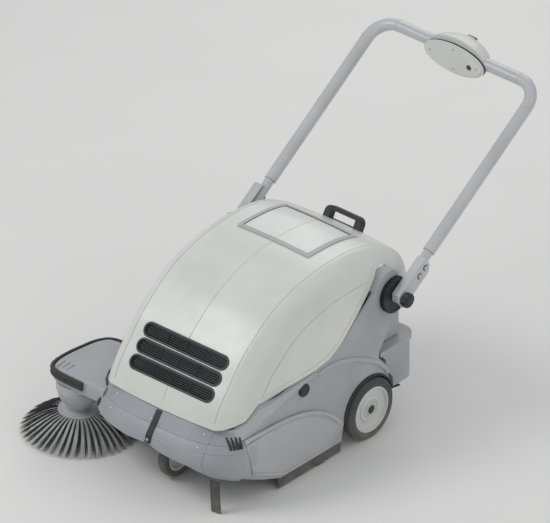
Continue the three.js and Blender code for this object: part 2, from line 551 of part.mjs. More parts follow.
// ---- handle ----
function buildHandle() {
  const h = HANDLE;
  const handle = new THREE.Group();
  handle.position.set(0, PIVOT.y, PIVOT.z);
  handle.rotation.x = THREE.MathUtils.degToRad(h.angle);
  machine.add(handle);
  const put = (name, geometry, color, roughness = 0.6, metalness = 0) => {
    const mesh = add(name, geometry, color, roughness, metalness);
    handle.add(mesh);
  };

  // In the group's frame +Y runs along the legs, away from the pivots.
  const stations = [[h.half, h.start, 0]];
  const bends = 7;
  for (let i = 0; i <= bends; i += 1) {
    const turn = (Math.PI / 2) * (i / bends);
    stations.push([h.half - h.bend + h.bend * Math.cos(turn), h.length - h.bend + h.bend * Math.sin(turn), turn]);
  }
  const route = [...stations, ...stations.slice().reverse().map(([x, y, turn]) => [-x, y, Math.PI - turn])];
  const sides = 12;
  const circle = (r) => route.map(([x, y, turn]) => {
    const points = [];
    for (let k = 0; k < sides; k += 1) {
      const a = (2 * Math.PI * k) / sides;
      const out = r * Math.cos(a);
      points.push(new THREE.Vector3(x + out * Math.cos(turn), y + out * Math.sin(turn), r * Math.sin(a)));
    }
    return points;
  });
  put('handle_tube', loft([...circle(h.r), ...circle(h.inner).reverse()], true), STEEL, 0.35, 1);

  for (const [name, side] of [['right', 1], ['left', -1]]) {
    const flip = (g) => (side > 0 ? g : mirrored(g));
    const insert = rod(12.5, 52, h.start - GAP, 16, Z).rotateX(-Math.PI / 2).translate(h.half, 0, 0);
    const web = outline([[-20, -15], [-6, -22], [96, -22], [112, -8], [112, 20], [104, 22], [-6, 22], [-20, 12]]);
    const channel = cut(alongX(web, 257.4, 282), alongX(outline([[-60, -19], [140, -19], [140, 19], [-60, 19]]),
      0, 279));
    const boss = rod(18, 257.4, 281, 24, X);
    const spacer = box(270, 281, 60, 110, -9, 9);
    put(`handle_bracket_${name}`, flip(join(channel, insert, boss, spacer)), STEEL, 0.4, 1);
    const knob = turned([[0, 282.4], [17, 282.4], [19.5, 286], [19.5, 298], [15, 302], [0, 302]], 12, X);
    put(`clamp_knob_${name}`, flip(knob), BLACK, 0.7);
  }

  // Control housing, upright on the crossbar: it is turned back by the handle's own angle.
  const upright = new THREE.Matrix4().makeRotationX(-handle.rotation.x).setPosition(0, h.length, 0);
  const tube = rod(h.r + GAP, -200, 200, 24, X);
  const oval = new THREE.Shape();
  oval.absellipse(0, -8, 98, 41, 0, 2 * Math.PI, false);
  const plate = alongY(oval, -27, -13, 24);
  put('control_housing_front', cut(plate, tube).applyMatrix4(upright), BLACK, 0.5);
  const dome = new THREE.SphereGeometry(1, 20, 12);
  dome.scale(96, 66, 50).translate(0, -12.5, -4);
  const pocket = box(-14 - GAP, 14 + GAP, 34, 80, 12 - GAP, 26 + GAP);
  const cover = cut(meet(dome, box(-200, 200, -12.6, 200, -100, 100)), tube, pocket);
  put('control_housing_rear', cover.applyMatrix4(upright), GREY, 0.5);
  put('power_switch', box(-14, 14, 38, 50, 12, 26).applyMatrix4(upright), BLACK, 0.5);

  const teeth = new THREE.Shape();
  const count = 36;
  for (let i = 0; i < 2 * count; i += 1) {
    const r = i % 2 ? 45.5 : 48.5;
    const a = (Math.PI * i) / count;
    teeth[i ? 'lineTo' : 'moveTo'](r * Math.cos(a), r * Math.sin(a));
  }
  const disc = alongX(teeth, BODY + GAP, 257).translate(0, PIVOT.y, PIVOT.z);
  addPair('pivot_disc', disc, BLACK, 0.7);
  const latch = turned([[0, BODY + GAP], [17.5, BODY + GAP], [17.5, BODY + 6], [15, BODY + 8], [0, BODY + 8]], 24, X);
  addPair('latch_knob', latch.translate(0, -246, 250), BLACK, 0.7);
}

buildHood();
buildBase();
buildPanels();
buildBumper();
buildInside();
buildWheels();
buildSideBrush();
buildHopper();
buildHandle();

// The row frame's origin is under the middle of the machine, on the floor.
machine.updateMatrixWorld(true);
const bounds = new THREE.Box3().setFromObject(machine, true);
machine.position.set(-(bounds.min.x + bounds.max.x) / 2, -(bounds.min.y + bounds.max.y) / 2, -bounds.min.z);
machine.updateMatrixWorld(true);

export default machine;
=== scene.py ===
"""Walk behind sweeper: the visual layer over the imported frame.

Shapes are worked out in millimetres in the machine's own axes: X = 0 between the rear wheels,
Y = 0 on their axle, Z = 0 on the floor, the machine driving towards -Y. TO_FRAME turns that into the
frame's metres, with its origin taken from the axle.
"""

import json
import math
import random

import bmesh
import bpy
from mathutils import Matrix, Vector

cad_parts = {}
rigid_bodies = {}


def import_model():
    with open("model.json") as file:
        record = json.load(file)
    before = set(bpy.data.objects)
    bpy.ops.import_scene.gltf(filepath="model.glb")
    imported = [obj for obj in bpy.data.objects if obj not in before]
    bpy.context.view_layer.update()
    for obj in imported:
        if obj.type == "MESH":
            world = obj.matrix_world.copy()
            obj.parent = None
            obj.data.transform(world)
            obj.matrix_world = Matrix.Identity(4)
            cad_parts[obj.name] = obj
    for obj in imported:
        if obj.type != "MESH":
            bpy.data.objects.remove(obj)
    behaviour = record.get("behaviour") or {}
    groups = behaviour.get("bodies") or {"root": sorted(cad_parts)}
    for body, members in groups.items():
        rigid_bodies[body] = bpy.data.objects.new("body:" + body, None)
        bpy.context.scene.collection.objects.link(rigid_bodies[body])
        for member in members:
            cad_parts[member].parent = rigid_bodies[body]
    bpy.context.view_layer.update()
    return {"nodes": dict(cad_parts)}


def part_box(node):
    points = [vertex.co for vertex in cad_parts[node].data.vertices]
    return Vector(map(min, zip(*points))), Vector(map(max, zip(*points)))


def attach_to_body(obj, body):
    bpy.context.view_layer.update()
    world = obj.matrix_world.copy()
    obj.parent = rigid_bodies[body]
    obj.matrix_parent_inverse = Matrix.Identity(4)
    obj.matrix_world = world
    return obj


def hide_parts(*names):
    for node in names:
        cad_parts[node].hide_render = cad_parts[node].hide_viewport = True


for leftover in list(bpy.data.objects):
    bpy.data.objects.remove(leftover)

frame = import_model()

# ---------------------------------------------------------------- places
AXLE = [(a + b) / 2 for a, b in zip(*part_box("wheel_axle"))]
TO_FRAME = Matrix.Translation((AXLE[0], AXLE[1], 0)) @ Matrix.Scale(0.001, 4)
FROM_FRAME = TO_FRAME.inverted()
MIRROR = Matrix.Scale(-1, 4, Vector((1, 0, 0)))


def cad(node):
    """Lowest and highest corner of a CAD node in machine millimetres."""
    return [FROM_FRAME @ Vector(corner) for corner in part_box(node)]


def middle(node):
    low, high = cad(node)
    return (low + high) / 2


BODY = cad("base_shell")[1].x  # half width over the side panels
WHEEL_R = middle("rear_tyre_right").z
PIVOT = middle("pivot_disc_right")
BROOM = middle("broom_bristles")
SIDE_BRUSH = middle("side_brush_bristles")
UNDER_SIDE_BRUSH = (SIDE_BRUSH.x, SIDE_BRUSH.y, 0)


# ---------------------------------------------------------------- materials
def linear(hex_colour):
    """A linear RGBA colour from an sRGB hex value."""
    channels = [int(hex_colour[i:i + 2], 16) / 255 for i in (0, 2, 4)]
    return [c / 12.92 if c <= 0.04045 else ((c + 0.055) / 1.055) ** 2.4 for c in channels] + [1]


def node(tree, kind, settings=None, links=None):
    """Adds a shader node, sets its properties and inputs, and links sockets into it."""
    made = tree.nodes.new(kind)
    for key, value in (settings or {}).items():
        if key in made.inputs.keys() or isinstance(key, int):
            made.inputs[key].default_value = value
        else:
            setattr(made, key, value)
    for key, socket in (links or {}).items():
        tree.links.new(socket, made.inputs[key])
    return made


def material(name, metallic=0.0, ior=1.5, coat=0.0, coat_roughness=0.1, sheen=0.0):
    """An empty material with its shader, output and object coordinates."""
    made = bpy.data.materials.new(name)
    made.use_nodes = True
    tree = made.node_tree
    tree.nodes.clear()
    settings = {"Metallic": metallic, "Coat Weight": coat, "Coat Roughness": coat_roughness,
                "Sheen Weight": sheen}
    if not metallic:
        settings["IOR"] = ior
    shader = node(tree, "ShaderNodeBsdfPrincipled", settings)
    node(tree, "ShaderNodeOutputMaterial", links={"Surface": shader.outputs[0]})
    place = node(tree, "ShaderNodeTexCoord")
    return made, tree, shader, place.outputs["Object"]


def blotches(tree, where, size_mm, detail, rough, start, end, low=0.0, high=1.0):
    """Noise with blots about size_mm across, its values from start to end spread over low to high."""
    blots = node(tree, "ShaderNodeTexNoise", {"Scale": 1000 / size_mm, "Detail": detail, "Roughness": rough},
                 {"Vector": where})
    return node(tree, "ShaderNodeMapRange",
                {"From Min": start, "From Max": end, "To Min": low, "To Max": high},
                {"Value": blots.outputs[0]}).outputs[0]


def floor_dust(tree, where, colour, dust, reach_m, most):
    """A film of swept dust that thickens towards the floor, broken up by noise."""
    height = node(tree, "ShaderNodeSeparateXYZ", links={"Vector": where})
    low = node(tree, "ShaderNodeMapRange",
               {"From Min": 0.0, "From Max": reach_m, "To Min": most, "To Max": 0.0},
               {"Value": height.outputs["Z"]})
    patches = blotches(tree, where, 24, 5, 0.65, 0.35, 0.7, 0.35, 1.0)
    amount = node(tree, "ShaderNodeMath", {"operation": "MULTIPLY"}, {0: low.outputs[0], 1: patches})
    return node(tree, "ShaderNodeMix", {"data_type": "RGBA", 7: linear(dust)},
                {0: amount.outputs[0], 6: colour}).outputs[2]


def weathered(name, light, dark, tone, shine, relief=None, dust=None, streak=None, **settings):
    """A material in two shades. tone carries the light shade into the dark one and shine gives the
    roughness, both as blotches() takes them. relief is the bump: size in mm, detail and roughness of its
    noise, then strength and depth. dust is the colour, reach and most of floor_dust(). streak stretches
    the marks, as drawing or brushing along one way leaves them."""
    made, tree, shader, where = material(name, **settings)
    marked = where
    if streak:
        marked = node(tree, "ShaderNodeMapping", {"Scale": streak}, {"Vector": where}).outputs[0]
    colour = node(tree, "ShaderNodeMix", {"data_type": "RGBA", 6: linear(light), 7: linear(dark)},
                  {0: blotches(tree, marked, *tone)}).outputs[2]
    if dust:
        colour = floor_dust(tree, where, colour, *dust)
    tree.links.new(colour, shader.inputs["Base Color"])
    tree.links.new(blotches(tree, where, *shine), shader.inputs["Roughness"])
    if relief:
        size_mm, detail, rough, strength, depth = relief
        height = node(tree, "ShaderNodeTexNoise",
                      {"Scale": 1000 / size_mm, "Detail": detail, "Roughness": rough}, {"Vector": marked})
        bump = node(tree, "ShaderNodeBump", {"Strength": strength, "Distance": depth},
                    {"Height": height.outputs[0]})
        tree.links.new(bump.outputs[0], shader.inputs["Normal"])
    return made


def moulded_plastic(name, light, dark, grain_mm, grain_depth, gloss, coat=0.0, dust="b0aaa0"):
    """Injection moulded thermoplastic: even colour with slow drifts, a spark-eroded grain from the
    mould, and shine that varies where hands and cloths have rubbed it."""
    return weathered(name, light, dark, (140, 2, 0.5, 0.3, 0.7),
                     (45, 5, 0.6, 0.3, 0.7, gloss - 0.06, gloss + 0.08), (grain_mm, 4, 0.6, 0.5, grain_depth),
                     (dust, 0.16, 0.35), ior=1.49, coat=coat, coat_roughness=0.18)


def rubber(name, light, dark, gloss=0.75):
    """Black vulcanised rubber: matt, slightly mottled by bloom, with dust that clings low down."""
    return weathered(name, light, dark, (18, 6, 0.7, 0.35, 0.7),
                     (18, 6, 0.7, 0.35, 0.7, gloss + 0.08, gloss - 0.06), (1.6, 3, 0.7, 0.6, 0.0004),
                     ("8f8a80", 0.12, 0.6), ior=1.52, sheen=0.08)


def metal(name, light, dark, gloss, streak, streak_mm):
    """Bare steel: fine marks from its making, and shine dulled here and there by handling."""
    return weathered(name, light, dark, (streak_mm, 4, 0.6, 0.35, 0.7),
                     (30, 5, 0.6, 0.3, 0.7, gloss - 0.07, gloss + 0.1), (streak_mm, 4, 0.6, 0.4, 0.00008),
                     streak=streak, metallic=1.0)


def powder_coat(name, light, dark, gloss):
    """Powder coated steel tube: a soft orange-peel skin over the metal."""
    return weathered(name, light, dark, (90, 3, 0.5, 0.3, 0.7),
                     (35, 5, 0.6, 0.3, 0.7, gloss - 0.05, gloss + 0.09), (2.6, 2, 0.4, 0.35, 0.0002),
                     coat=0.3, coat_roughness=0.15)


def bristle(name, root, tip):
    """Polypropylene bristles: waxy filaments, each its own shade, paler where the floor frays them."""
    return weathered(name, root, tip, (5, 2, 0.5, 0.35, 0.65), (5, 2, 0.5, 0.3, 0.7, 0.4, 0.62),
                     (1.2, 2, 0.5, 0.5, 0.0003), ("8b857a", 0.03, 0.5), ior=1.49)


def pleated_paper(name):
    """Filter paper pleated 6 mm apart, matt and fibrous, with painted shade that darkens each pleat's hollow.
    """
    made, tree, shader, where = material(name, sheen=0.2)
    pleats_and_painted_shade = node(tree, "ShaderNodeTexWave", {"wave_type": "BANDS", "bands_direction": "X", "Scale": 52.0},
                 {"Vector": where}).outputs[0]
    # Painted shade: the pleats' relief also sets the colour, darker in each hollow and lighter on each crest.
    colour = node(tree, "ShaderNodeMix", {"data_type": "RGBA", 6: linear("b9b19c"), 7: linear("e4dfd0")},
                  {0: pleats_and_painted_shade})
    bump = node(tree, "ShaderNodeBump", {"Strength": 0.8, "Distance": 0.002}, {"Height": pleats_and_painted_shade})
    tree.links.new(colour.outputs[2], shader.inputs["Base Color"])
    tree.links.new(blotches(tree, where, 3, 5, 0.7, 0.3, 0.7, 0.8, 0.95), shader.inputs["Roughness"])
    tree.links.new(bump.outputs[0], shader.inputs["Normal"])
    return made


# Smooth off-white ABS with a thin gloss: the cleanest and brightest part of the machine.
HOOD_ABS = moulded_plastic("hood_abs", "dcddd8", "d2d4ce", 1.8, 0.00012, 0.36, coat=0.2)
# Mid grey polypropylene and polyethylene, duller and with a coarser grain that hides scuffs.
BODY_PP = moulded_plastic("body_polypropylene", "a9adb0", "9ea2a6", 1.4, 0.0003, 0.5)
BUMPER_PE = moulded_plastic("bumper_polyethylene", "a2a6aa", "979ca0", 1.6, 0.0003, 0.46)
COVER_PP = moulded_plastic("cover_polypropylene", "b4b8ba", "aaaeb1", 1.4, 0.0003, 0.48)
# Near-black plastics for knobs, grilles and cases: dark, faintly glossy, dusty low down.
BLACK_NYLON = moulded_plastic("black_glass_filled_nylon", "2b2c2e", "232426", 1.1, 0.0003, 0.48,
                              dust="77726a")
GRILLE_PP = moulded_plastic("grille_polypropylene", "35373a", "2b2d30", 1.2, 0.0002, 0.42, dust="77726a")
BATTERY_PP = moulded_plastic("battery_case_polypropylene", "3a3d42", "303338", 1.6, 0.0003, 0.5)
# Pale rims and control housing, and the one red accent.
RIM_NYLON = moulded_plastic("rim_nylon", "d3d5d2", "c6c8c5", 1.5, 0.0002, 0.45)
PANEL_ABS = moulded_plastic("control_housing_abs", "d9dbd8", "cfd1ce", 1.4, 0.0002, 0.4)
RED_SWITCH = moulded_plastic("switch_cap_polycarbonate", "8e2a25", "7f231f", 1.2, 0.0001, 0.35)
# Matt rubber: black for seals and skirts, grey and chalkier for tyres that don't mark a floor.
SOFT_RUBBER = rubber("epdm_rubber", "3a3b3c", "2d2e2f")
TYRE_RUBBER = rubber("grey_tyre_rubber", "4c4e50", "3f4143", 0.8)
# Silver paint that softens the tube's highlights, bluish zinc, and bright steel turned in a lathe.
TUBE_PAINT = powder_coat("silver_powder_coat", "c3c6c8", "b7babd", 0.34)
ZINC = metal("zinc_plated_steel", "c9ccd0", "b5b9bf", 0.32, (1.0, 1.0, 1.0), 7)
TURNED_STEEL = metal("turned_steel", "bfc2c6", "a9adb2", 0.25, (0.1, 1.0, 1.0), 1.5)
FILTER_PAPER = pleated_paper("filter_paper")
BRUSH_BLACK = bristle("polypropylene_bristles", "1f2022", "34363a")


# ---------------------------------------------------------------- mesh tools
def surface(across, along, where):
    """A grid bent into shape: where(u, v) gives the place for u and v from 0 to 1."""
    mesh = bmesh.new()
    bmesh.ops.create_grid(mesh, x_segments=across, y_segments=along, size=0.5)
    for vert in mesh.verts:
        vert.co = where(vert.co.x + 0.5, vert.co.y + 0.5)
    return mesh


def shell(across, along, where):
    """A sheet with a wall behind it: where(u, v, inside) gives the place on its outside or its inside."""
    mesh = bmesh.new()
    bmesh.ops.create_grid(mesh, x_segments=across, y_segments=along, size=0.5)
    grown_part = bmesh.ops.extrude_face_region(mesh, geom=mesh.faces[:])["geom"]
    inner = {v for v in grown_part if isinstance(v, bmesh.types.BMVert)}
    for vert in mesh.verts:
        vert.co = where(vert.co.x + 0.5, vert.co.y + 0.5, vert in inner)
    bmesh.ops.recalc_face_normals(mesh, faces=mesh.faces)
    return mesh


def closed(mesh):
    """Merges the seam and the poles, fills open ends, and turns every face outwards."""
    bmesh.ops.remove_doubles(mesh, verts=mesh.verts, dist=0.01)
    bmesh.ops.holes_fill(mesh, edges=[e for e in mesh.edges if e.is_boundary], sides=0)
    bmesh.ops.recalc_face_normals(mesh, faces=mesh.faces)
    return mesh


def turned(profile, sides, axis="X", centre=(0, 0, 0)):
    """Spins a profile of (radius, place along the axis) round the axis."""
    mesh = bmesh.new()
    verts = [mesh.verts.new((a, r, 0) if axis == "X" else (r, 0, a)) for r, a in profile]
    edges = [mesh.edges.new(pair) for pair in zip(verts, verts[1:])]
    way = Vector((1, 0, 0)) if axis == "X" else Vector((0, 0, 1))
    bmesh.ops.spin(mesh, geom=verts + edges, cent=(0, 0, 0), axis=way, angle=math.tau, steps=sides,
                   use_merge=True)
    bmesh.ops.translate(mesh, verts=mesh.verts, vec=centre)
    return closed(mesh)


def both_sides(half, centre=0):
    """A closed profile from one half of it and that half mirrored about a place along the axis."""
    return half + [(r, 2 * centre - a) for r, a in reversed(half)] + half[:1]


def prism(outline, start, end, axis="X"):
    """Extrudes a closed outline drawn on the other two axes."""
    mesh = bmesh.new()
    put = {"X": lambda a, b: (start, a, b), "Y": lambda a, b: (a, start, b),
           "Z": lambda a, b: (a, b, start)}[axis]
    face = mesh.faces.new([mesh.verts.new(put(a, b)) for a, b in outline])
    raised = bmesh.ops.extrude_face_region(mesh, geom=[face])["geom"]
    way = Vector([(end - start) * (axis == name) for name in "XYZ"])
    bmesh.ops.translate(mesh, verts=[v for v in raised if isinstance(v, bmesh.types.BMVert)], vec=way)
    bmesh.ops.recalc_face_normals(mesh, faces=mesh.faces)
    return mesh


def loft(outlines, ring=False):
    """A solid through closed outlines of equally many points, capped, or joined end to end as a ring."""
    mesh = bmesh.new()
    loops = []
    for outline in outlines:
        verts = [mesh.verts.new(p) for p in outline]
        loops.append([mesh.edges.new(pair) for pair in zip(verts, verts[1:] + verts[:1])])
    for first, second in list(zip(loops, loops[1:])) + ([(loops[-1], loops[0])] if ring else []):
        bmesh.ops.bridge_loops(mesh, edges=first + second)
    if not ring:
        for end in (loops[0], loops[-1]):
            bmesh.ops.holes_fill(mesh, edges=end, sides=0)
    bmesh.ops.recalc_face_normals(mesh, faces=mesh.faces)
    return mesh


def block(x0, x1, y0, y1, z0, z1):
    return prism([(x0, y0), (x1, y0), (x1, y1), (x0, y1)], z0, z1, "Z")


def arc(cx, cy, r, start, end, steps):
    """Points of a round stretch, from one angle to another in degrees."""
    turns = [math.radians(start + (end - start) * i / steps) for i in range(steps + 1)]
    return [(cx + r * math.cos(t), cy + r * math.sin(t)) for t in turns]


def rounded(x0, x1, y0, y1, r, steps=8):
    """A rectangle with round corners."""
    return (arc(x1 - r, y1 - r, r, 0, 90, steps) + arc(x0 + r, y1 - r, r, 90, 180, steps)
            + arc(x0 + r, y0 + r, r, 180, 270, steps) + arc(x1 - r, y0 + r, r, 270, 360, steps))


def curve_at(points, index, t):
    """A place part of the way from one point to the next, on a smooth curve through all of them."""
    four = [Vector(points[min(max(index + step, 0), len(points) - 1)]) for step in (-1, 0, 1, 2)]
    return 0.5 * (2 * four[1] + (four[2] - four[0]) * t
                  + (2 * four[0] - 5 * four[1] + 4 * four[2] - four[3]) * t * t
                  + (3 * four[1] - four[0] - 3 * four[2] + four[3]) * t ** 3)


def smooth_line(points, steps=6):
    """An open line of points rounded into a curve that passes through them all."""
    return [tuple(curve_at(points, index, step / steps))
            for index in range(len(points) - 1) for step in range(steps)] + [tuple(points[-1])]


def grown(points, by):
    """A line of points moved sideways to its left by a distance."""
    vectors = [Vector(p) for p in points]
    result = []
    for index, here in enumerate(vectors):
        before = (here - vectors[index - 1]).normalized() if index else None
        after = (vectors[index + 1] - here).normalized() if index + 1 < len(vectors) else None
        along = ((before or after) + (after or before)).normalized()
        widen = 1 / max(along.dot(before or after), 0.5)
        result.append(tuple(here + Vector((-along.y, along.x)) * by * widen))
    return result


def band(line, width):
    """The strip between a line and the same line moved to its right."""
    return line + grown(line, -width)[::-1]


def moved(mesh, matrix):
    bmesh.ops.transform(mesh, matrix=matrix, verts=mesh.verts)
    if matrix.determinant() < 0:
        bmesh.ops.reverse_faces(mesh, faces=mesh.faces)
    return mesh


def together(*meshes):
    """One bmesh holding all of the given ones, which it frees."""
    whole = bmesh.new()
    for mesh in meshes:
        spare = bpy.data.meshes.new("spare")
        mesh.to_mesh(spare)
        mesh.free()
        whole.from_mesh(spare)
        bpy.data.meshes.remove(spare)
    return whole


def on_side(mesh, side):
    """Leaves a mesh on the right, or mirrors it for the left."""
    return moved(mesh, MIRROR) if side == "left" else mesh


def smooth(data):
    """Smooth shading, but for the edges sharper than 32 degrees."""
    for polygon in data.polygons:
        polygon.use_smooth = True
    data.set_sharp_from_angle(angle=math.radians(32))


def to_object(name, mesh, finish=None):
    """Puts a bmesh in machine millimetres into the frame as an object."""
    moved(mesh, TO_FRAME)
    data = bpy.data.meshes.new(name)
    mesh.to_mesh(data)
    mesh.free()
    smooth(data)
    made = bpy.data.objects.new(name, data)
    bpy.context.scene.collection.objects.link(made)
    if finish:
        data.materials.append(finish)
    return made


def attach(made, body, *replaced, slot=None, bevel=0.0, angle=40):
    """Gives an object in place its rounded edges in mm, its body and what it stands for; slot is not used."""
    if bevel:
        edge = made.modifiers.new("edges", "BEVEL")
        edge.width = bevel / 1000
        edge.segments = 2
        edge.limit_method = "ANGLE"
        edge.angle_limit = math.radians(angle)
        edge.harden_normals = True
    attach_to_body(made, body)
    if replaced:
        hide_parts(*replaced)


def piece(name, mesh, finish, body, *replaced, **edges_and_slot):
    """A finished piece on a body, in place of the CAD nodes it stands for."""
    attach(to_object(name, mesh, finish), body, *replaced, **edges_and_slot)


def carve(made, way, form):
    """Cuts an object by a closed mesh, or keeps what they share."""
    tool = to_object("tool", form)
    step = made.modifiers.new("carve", "BOOLEAN")
    step.operation, step.solver, step.object = way, "EXACT", tool
    done = bpy.data.meshes.new_from_object(made.evaluated_get(bpy.context.evaluated_depsgraph_get()))
    made.modifiers.clear()
    old, made.data = made.data, done
    bpy.data.meshes.remove(old)
    bpy.data.objects.remove(tool)
    smooth(done)


def cut_away(made, *forms):
    for form in forms:
        carve(made, "DIFFERENCE", form)


def from_cad(node_name, finish, body, bevel, angle=35):
    """A copy of a CAD node with merged faces and rounded edges, in its place."""
    mesh = bmesh.new()
    mesh.from_mesh(frame["nodes"][node_name].data)
    bmesh.ops.remove_doubles(mesh, verts=mesh.verts, dist=0.00001)
    bmesh.ops.dissolve_limit(mesh, angle_limit=math.radians(1), verts=mesh.verts, edges=mesh.edges)
    piece(f"{node_name}_finished", moved(mesh, FROM_FRAME), finish, body, node_name, bevel=bevel, angle=angle)


# ---------------------------------------------------------------- the hood's curved skin
ARCH = [(-512, 200), (-480, 267), (-440, 320), (-398, 372), (-351, 413), (-300, 450), (-238, 480),
        (-162, 501), (-87, 511), (-20, 511), (40, 505), (95, 490), (155, 458), (185, 437), (204, 412),
        (211, 385), (213, 340)]
ARCH_HEART = Vector((-60, 80))  # the point the hood's skin turns its back on
SEAM = [(-640, 197), (-505, 216), (-431, 231), (-390, 262), (-300, 276), (-201, 283), (-148, 292),
        (-109, 312), (50, 433), (58, 442), (72, 446), (88, 446), (100, 440), (110, 425), (113, 400),
        (114, 352)]
CORNER_AT = 165  # where the hood's broad top starts to turn down into its side
CROWN = 6  # mm that the top falls by from its middle to there
HOOD_HALF = 242
SIDE_DROP = 240
WIDE = 300  # further from the middle than any part of the body


def on_arch(v):
    """A place on the hood's centre line, v from 0 at the front to 1 at the back."""
    span = min(v * (len(ARCH) - 1), len(ARCH) - 1.0001)
    return curve_at(ARCH, int(span), span - int(span))


def on_hood(across, v, proud=0.0):
    """A place on the hood: across is mm from the middle up to CORNER_AT, and degrees of corner after."""
    reach = abs(across)
    spot = on_arch(v)
    out = (spot - ARCH_HEART).normalized()
    if reach <= CORNER_AT:
        x, drop = reach, CROWN * (reach / CORNER_AT) ** 2
    else:
        turn = math.radians(min(reach - CORNER_AT, 90))
        x = CORNER_AT + (HOOD_HALF + proud - CORNER_AT) * math.sin(turn)
        drop = CROWN + SIDE_DROP * (1 - math.cos(turn))
    spot = spot + out * (proud - drop)
    return Vector((math.copysign(x, across), spot.x, spot.y))


FLAT_STOPS = [0, 1.2, 2.4, 20, 45, 70, 95, 120, 145, 160, 163.6, 165]
TURN_STOPS = [165.9, 167.4, 171, 176, 182, 188, 194, 200, 206, 209.3, 210.1, 210.6, 211.1, 211.9, 217, 223,
              229, 235, 241, 247, 251, 255]
GROOVES = {0: 1.5, 165: 2.4, 210.6: 1.8}  # mm deep at these stops
STOPS = [-s for s in reversed((FLAT_STOPS + TURN_STOPS)[1:])] + FLAT_STOPS + TURN_STOPS


def hood_skin(proud, thick, grooves=False, rows=110):
    """The whole hood's skin as a closed shell, thick mm deep below its outside."""
    def spot(u, v, inside):
        across = STOPS[round(u * (len(STOPS) - 1))]
        sunk = thick if inside else GROOVES.get(abs(across), 0) if grooves else 0
        return on_hood(across, v, proud - sunk)
    return shell(len(STOPS) - 1, rows, spot)


def hatch_block(half, front, back, corner):
    """A block down through the top of the hood, to cut with."""
    return prism(rounded(-half, half, front, back, corner), 440, 560, "Z")


def make_hood():
    below_seam = prism(grown(SEAM, 1.2) + [(260, 352), (260, 0), (-640, 0)], -WIDE, WIDE)
    holes = [moved(prism(pill(20.6), -60, 60, "Z"), vent_place(row)) for row in VENT_NAMES]
    hood = to_object("hood", hood_skin(0, 4, grooves=True), HOOD_ABS)
    cut_away(hood, below_seam, hatch_block(118.5, -86.5, 98.5, 5), *holes)
    attach(hood, "hood", "hood_shell", bevel=0.8)

    # A raised lip follows the seam from the nose to the rear column.
    lip = to_object("hood_lip", hood_skin(1.6, 3.2), HOOD_ABS)
    carve(lip, "INTERSECT", prism(grown(SEAM, 1.3) + grown(SEAM, 13)[::-1], -WIDE, WIDE))
    attach(lip, "hood", bevel=0.7)


# ---------------------------------------------------------------- vents
VENT_NAMES = {-1: "lower", 0: "middle", 1: "upper"}
VENT_PITCH = 43.5
VENT_LEAN = math.radians(52)
VENT_HALF = 119  # half the length of a slot's straight sides
VENT_STEPS = 29  # parts of a straight side, so that it can bend


def pill(radius):
    """A long slot with round ends."""
    run = [-VENT_HALF + 2 * VENT_HALF * i / VENT_STEPS for i in range(1, VENT_STEPS)]
    return (arc(VENT_HALF, 0, radius, -90, 90, 12) + [(x, radius) for x in reversed(run)]
            + arc(-VENT_HALF, 0, radius, 90, 270, 12) + [(x, -radius) for x in run])


def vent_place(row):
    return (Matrix.Translation((0, -438.5, 321.5)) @ Matrix.Rotation(VENT_LEAN, 4, "X")
            @ Matrix.Translation((0, row * VENT_PITCH, 0)))


def make_vents():
    inside = 14.5
    slat_turn = Matrix.Rotation(math.radians(-28), 4, "X")
    for row, name in VENT_NAMES.items():
        parts = [loft([[(x, y, z) for x, y in pill(radius)]
                       for radius, z in ((20, -7), (20, 1.8), (inside, 1.8), (inside, -7))], ring=True),
                 prism(pill(19), -6.9, -5.4, "Z")]
        for rise in (-10.8, -5.4, 0, 5.4, 10.8):
            reach = VENT_HALF + math.sqrt(inside ** 2 - rise ** 2)
            slat = prism([(-0.8, -6), (0.8, -6), (0.8, 0.6), (-0.8, 0.6)], -reach, reach)
            long_edges = [e for e in slat.edges if e.calc_length() > 20]
            bmesh.ops.subdivide_edges(slat, edges=long_edges, cuts=30)
            parts.append(moved(slat, Matrix.Translation((0, rise, -0.6)) @ slat_turn))
        parts += [block(x - 1.3, x + 1.3, -15.5, 15.5, -6.8, -3) for x in (-60, 0, 60)]
        whole = together(*parts)
        for vert in whole.verts:
            vert.co.z -= CROWN * (vert.co.x / CORNER_AT) ** 2
        piece(f"vent_{name}", moved(whole, vent_place(row)), GRILLE_PP, "hood", f"vent_grille_{name}",
              bevel=0.7)


# ---------------------------------------------------------------- battery hatch
def make_hatch():
    """Layers that follow the hood: each outside and inside is (half width, front, back, corner)."""
    for name, proud, thick, outside, inside, finish, slot, body, replaced, bevel in (
            ("hatch_surround", 3.2, 8, (118.2, -86.2, 98.2, 5), (107.4, -75.4, 87.4, 3), COVER_PP,
             "hood_plastic", "hood", ["hatch_frame"], 1.6),
            ("hatch_seal", 1.9, 4, (107.3, -75.3, 87.3, 3), (105.2, -73.2, 82.9, 2), SOFT_RUBBER,
             "soft_rubber", "hood", [], 0.3),
            ("hatch_cover", 1.8, 5.5, (104.9, -72.9, 82.4, 2), None, HOOD_ABS,
             "hood_plastic", "hatch", ["hatch_lid"], 1.1)):
        layer = to_object(name, hood_skin(proud, thick, grooves=not inside), finish)
        carve(layer, "INTERSECT", hatch_block(*outside))
        if inside:
            cut_away(layer, hatch_block(*inside))
        attach(layer, body, *replaced, slot=slot, bevel=bevel)


def screws(name, body, places, radius=4.2):
    """Pan-head screws, each place a point and the direction its head faces."""
    heads = []
    for point, facing in places:
        head = turned([(0, 1.6), (radius * 0.34, 1.6), (radius * 0.4, 2.3), (radius * 0.7, 2.0),
                       (radius * 0.94, 1.1), (radius, 0.2), (radius, -1.5), (0, -1.5)], 20, "Z")
        turn = Vector(facing).to_track_quat("Z", "Y").to_matrix().to_4x4()
        heads.append(moved(head, Matrix.Translation(point) @ turn))
    piece(name, together(*heads), ZINC, body)


